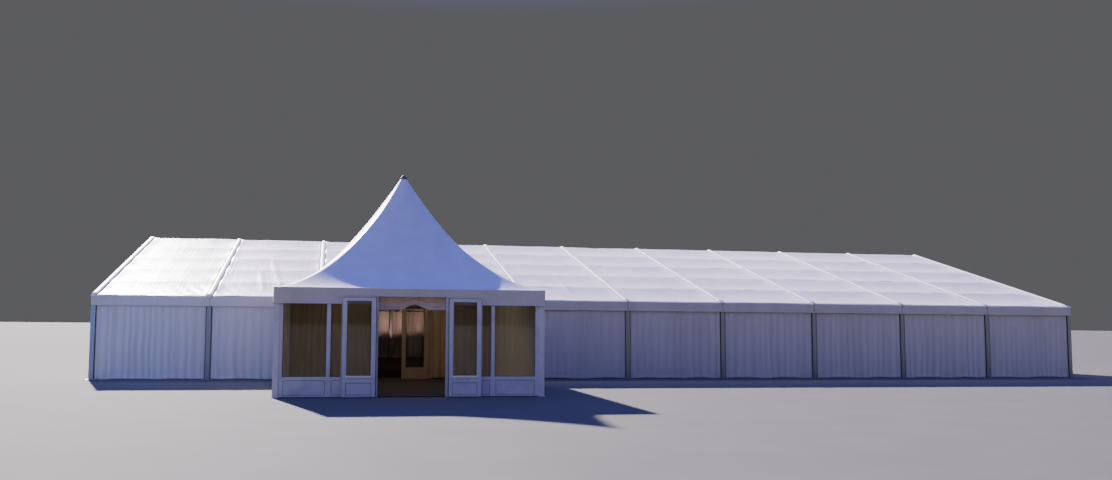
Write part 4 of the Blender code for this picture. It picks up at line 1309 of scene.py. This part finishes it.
def build_swag():
    """A pleated header, and below it a band of cloth whose folds follow the ogee."""
    low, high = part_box("doorway_swag")
    start, end = low.x + SWAG_EDGE, high.x - SWAG_EDGE
    head = high.z - HEAD_HEIGHT

    def band_place(u, v):
        top = head - mix(HEADER_DROP_SIDE, HEADER_DROP_MIDDLE, ogee(u)) + BAND_OVERLAP
        foot = head - mix(SWAG_DROP_SIDE, SWAG_DROP_MIDDLE, ogee(u))
        z = mix(top, foot, v) + ripple(BAND_GATHER, u, v * 0.2) * np.sin(math.pi * v)
        folds = cycle(BAND_FOLDS * v + ripple(BAND_WANDER, u, v * 0.3), 1)
        roll = np.sqrt(np.clip(1 - (2 * v - 1) ** 2, 0, 1))
        forward = (BAND_ROLL + BAND_FOLD_DEPTH * folds) * roll
        return u, low.y + BAND_SET_BACK - forward + ripple(BAND_RIPPLE, u, z), z

    across = np.linspace(start, end, 201)
    band = cloth("doorway_swag_band", across, np.linspace(0, 1, 37), band_place, LINING, CLOTH)
    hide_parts("doorway_swag")
    pleats = Pleats(start, end, *HEADER_PLEATS, HEADER_SEED)

    def header_place(u, v):
        foot = head - mix(HEADER_DROP_SIDE, HEADER_DROP_MIDDLE, ogee(u))
        z = mix(high.z, foot, v) - HEADER_DROP
        fold = HEADER_PLEAT_DEPTH * pleats.at(u + v * ripple(HEADER_WANDER, u, z))
        return u, low.y + HEADER_SET_BACK + fold + v * ripple(HEADER_RIPPLE, u, z), z

    across = np.linspace(start, end, 301)
    header = cloth("doorway_swag_header", across, np.linspace(0, 1, 13), header_place, HEADER, CLOTH)
    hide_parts("doorway_swag")
    length = length_across(header_place, across, 0.5)
    near, far = (low.y + depth for depth in SWAG_RAIL_DEPTHS)
    foot, top = (head + height for height in SWAG_RAIL_HEIGHTS)
    rail = ((start + SWAG_RAIL_GAP, near, foot), (end - SWAG_RAIL_GAP, far, top))
    bar_piece("doorway_swag_rail", [rail], ALUMINIUM_SHADED, edge=0.002)


# Small parts

BOLT_FROM_FACE = 0.10
BOLT_FROM_MIDDLE = 0.11

# Washer and bolt head: radius, foot over the plate, thickness and sides
BOLT_PARTS = ((0.017, 0.0, 0.003, 14), (0.011, 0.003, 0.010, 6))


def build_bolts():
    """Hexagon bolts with washers on the base plates."""
    bm = bmesh.new()
    for number in range(BAYS + 1):
        for y in (FRONT_Y + BOLT_FROM_FACE, BACK_Y - BOLT_FROM_FACE):
            for x in (frame_x(number) - BOLT_FROM_MIDDLE, frame_x(number) + BOLT_FROM_MIDDLE):
                for radius, foot, thickness, sides in BOLT_PARTS:
                    verts = add_cylinder(bm, radius, thickness, sides)
                    middle = PLATE_THICKNESS + foot + thickness / 2
                    bmesh.ops.translate(bm, verts=verts, vec=(x, y, middle))
    soften(solid_piece("base_plate_bolts", bm, STEEL), 0.001, 1)


NODE_EDGE = 0.003
CAP_EDGE = 0.006


def finish_nodes():
    """Materials and soft edges for the model's own nodes that stay in view."""
    looks = (
        (WHITE_PAINT, NODE_EDGE, ["pagoda_frame", "entrance_screen"]),
        (WHITE_PAINT, NODE_EDGE, ["entrance_door_left", "entrance_door_right"]),
        (CAP_DARK, CAP_EDGE, ["pagoda_cap"]),
        (ALUMINIUM_SHADED, NODE_EDGE, [f"portal_frame_{number + 1:02d}" for number in range(BAYS + 1)]),
        (CREAM_PAINT_SHADED, NODE_EDGE, ["inner_door_frame", "inner_door_left", "inner_door_right"]),
        (CARPET, None, ["main_floor", "pagoda_floor"]),
        (GLASS_PAINTED_REFLECTION, None, [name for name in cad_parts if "glass" in name]),
    )
    for material, edge, names in looks:
        for name in names:
            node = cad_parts[name]
            node.data.materials.clear()
            node.data.materials.append(material)
            if edge:
                soften(node, edge)


# Light, floor and camera

FLOOR_HALF = 400.0
FLOOR_BELOW = 0.003
WORLD_STRENGTH = 0.50

# Colours of the studio around the tent, from below the floor up to the top
WORLD_STOPS = (
    (0.42, (0.20, 0.10, 0.01)),
    (0.49, (0.22, 0.22, 0.235)),
    (0.67, (0.22, 0.22, 0.235)),
    (0.82, (0.34, 0.42, 1.85)),
)


def build_floor():
    material = new_material("studio_floor", (0.130, 0.128, 0.124), roughness=0.9)
    patches = noise(material, scale=0.8, detail=4.0)
    vary_color(material, patches, (0.123, 0.121, 0.117), (0.137, 0.135, 0.131))
    bm = bmesh.new()
    bmesh.ops.create_grid(bm, x_segments=1, y_segments=1, size=FLOOR_HALF)
    bmesh.ops.translate(bm, verts=bm.verts, vec=(0, 0, -FLOOR_BELOW))
    mesh = bpy.data.meshes.new("studio_floor")
    bm.to_mesh(mesh)
    bm.free()
    mesh.materials.append(material)
    place_object("studio_floor", mesh)


def build_world():
    world = bpy.data.worlds.new("studio")
    world.use_nodes = True
    coordinates = add_node(world, "TexCoord")
    split = add_node(world, "SeparateXYZ")
    link(world, coordinates.outputs["Generated"], split.inputs["Vector"])
    height = add_node(world, "MapRange", From_Min=-1.0)
    link(world, split.outputs["Z"], height.inputs["Value"])
    background = world.node_tree.nodes["Background"]
    link(world, color_ramp(world, height.outputs["Result"], WORLD_STOPS), background.inputs["Color"])
    background.inputs["Strength"].default_value = WORLD_STRENGTH
    bpy.context.scene.world = world


def add_lamp(name, kind, toward, energy, color, place=(0, 0, 0), **settings):
    """A lamp whose back points along toward, with further settings of its kind."""
    lamp = bpy.data.lights.new(name, kind)
    lamp.energy = energy
    lamp.color = color
    for setting, value in settings.items():
        setattr(lamp, setting, value)
    obj = place_object(name, lamp)
    obj.location = place
    obj.rotation_euler = Vector(toward).to_track_quat("Z", "Y").to_euler()


def add_spot(name, place, toward, cone, energy, color, radius, blend):
    """A lamp with a soft-edged cone, its full angle in degrees."""
    add_lamp(name, "SPOT", toward, energy, color, place,
             spot_size=math.radians(cone), spot_blend=blend, shadow_soft_size=radius)


ROOF_SPOTS = 5
ROOF_SPOT_SPACING = 6.5
HALL_SPOTS = 4
HALL_SPOT_START = -6.6
HALL_SPOT_SPACING = 0.75


def build_lights():
    add_lamp("key", "SUN", (-0.252, 0.826, 0.504), energy=14.0, color=(1.0, 0.92, 0.88),
             angle=math.radians(1.5))
    add_lamp("side_fill", "SUN", (-0.86, -0.40, 0.30), energy=0.24, color=(0.75, 0.82, 1.0),
             angle=math.radians(40.0))
    for number in range(ROOF_SPOTS):
        x = (number - (ROOF_SPOTS - 1) / 2) * ROOF_SPOT_SPACING
        add_spot(f"roof_spot_{number + 1}", (x, MIDDLE_Y + 2.5, 24.0), (0, 0, 1),
                 cone=62.0, energy=4400.0, color=(1.0, 0.94, 0.97), radius=1.5, blend=0.45)
    add_spot("left_fill", (-21.0, -14.0, 3.0), (-0.66, -0.72, 0.15),
             cone=34.0, energy=1900.0, color=(0.07, 0.25, 1.0), radius=0.5, blend=1.0)
    add_lamp("porch_glow", "AREA", (0.0, -0.35, 1.0), energy=26.0, color=(1.0, 0.80, 0.62),
             place=(PAGODA_X, PAGODA_Y - 0.2, 2.75), shape="SQUARE", size=2.6)
    for number in range(HALL_SPOTS):
        x = HALL_SPOT_START + number * HALL_SPOT_SPACING
        add_spot(f"hall_spot_{number + 1}", (x, BACK_Y - 2.0, 0.60), (0.0, -2.0, -1.10),
                 cone=42.0, energy=50.0, color=(1.0, 0.64, 0.54), radius=0.02, blend=0.95)
    add_lamp("hall_fill", "AREA", (0.0, -0.6, 1.0), energy=12.0, color=(1.0, 0.74, 0.66),
             place=(PAGODA_X + 1.2, 2.0, 2.9), shape="SQUARE", size=3.0)


CAMERA_PLACE = (-8.724, -29.276, 1.615)
CAMERA_YAW = math.radians(9.54)
CAMERA_PITCH = math.radians(4.21)
CAMERA_ROLL = math.radians(0.49)
IMAGE_WIDTH = 1112
IMAGE_HEIGHT = 480
FOCAL_PIXELS = 869.3
PRINCIPAL_POINT = (477.0, 258.5)


def build_camera():
    camera = bpy.data.cameras.new("camera")
    camera.sensor_width = 36.0
    camera.lens = FOCAL_PIXELS / IMAGE_WIDTH * camera.sensor_width
    camera.shift_x = (IMAGE_WIDTH / 2 - PRINCIPAL_POINT[0]) / IMAGE_WIDTH
    camera.shift_y = (PRINCIPAL_POINT[1] - IMAGE_HEIGHT / 2) / IMAGE_WIDTH
    camera.clip_end = 1000.0
    forward = Vector((
        math.sin(CAMERA_YAW) * math.cos(CAMERA_PITCH),
        math.cos(CAMERA_YAW) * math.cos(CAMERA_PITCH),
        math.sin(CAMERA_PITCH),
    ))
    level = Vector((math.cos(CAMERA_YAW), -math.sin(CAMERA_YAW), 0.0))
    upright = level.cross(forward)
    right = level * math.cos(CAMERA_ROLL) + upright * math.sin(CAMERA_ROLL)
    up = -level * math.sin(CAMERA_ROLL) + upright * math.cos(CAMERA_ROLL)
    turn = Matrix((right, up, -forward)).transposed().to_4x4()
    obj = place_object("camera", camera)
    obj.matrix_world = Matrix.Translation(CAMERA_PLACE) @ turn
    bpy.context.scene.camera = obj


build_camera()
build_roof()
build_rafter_strips()
build_valances()
build_walls()
build_gables()
build_membrane()
build_pagoda_valances()
build_eave_welt()
build_pagoda_walls()
build_beads()
build_screen_beads()
build_weather_bars()
build_door_shadow_seals()
build_threshold()
build_bracing()
build_drapes()
build_swag()
build_bolts()
finish_nodes()
build_floor()
build_world()
build_lights()
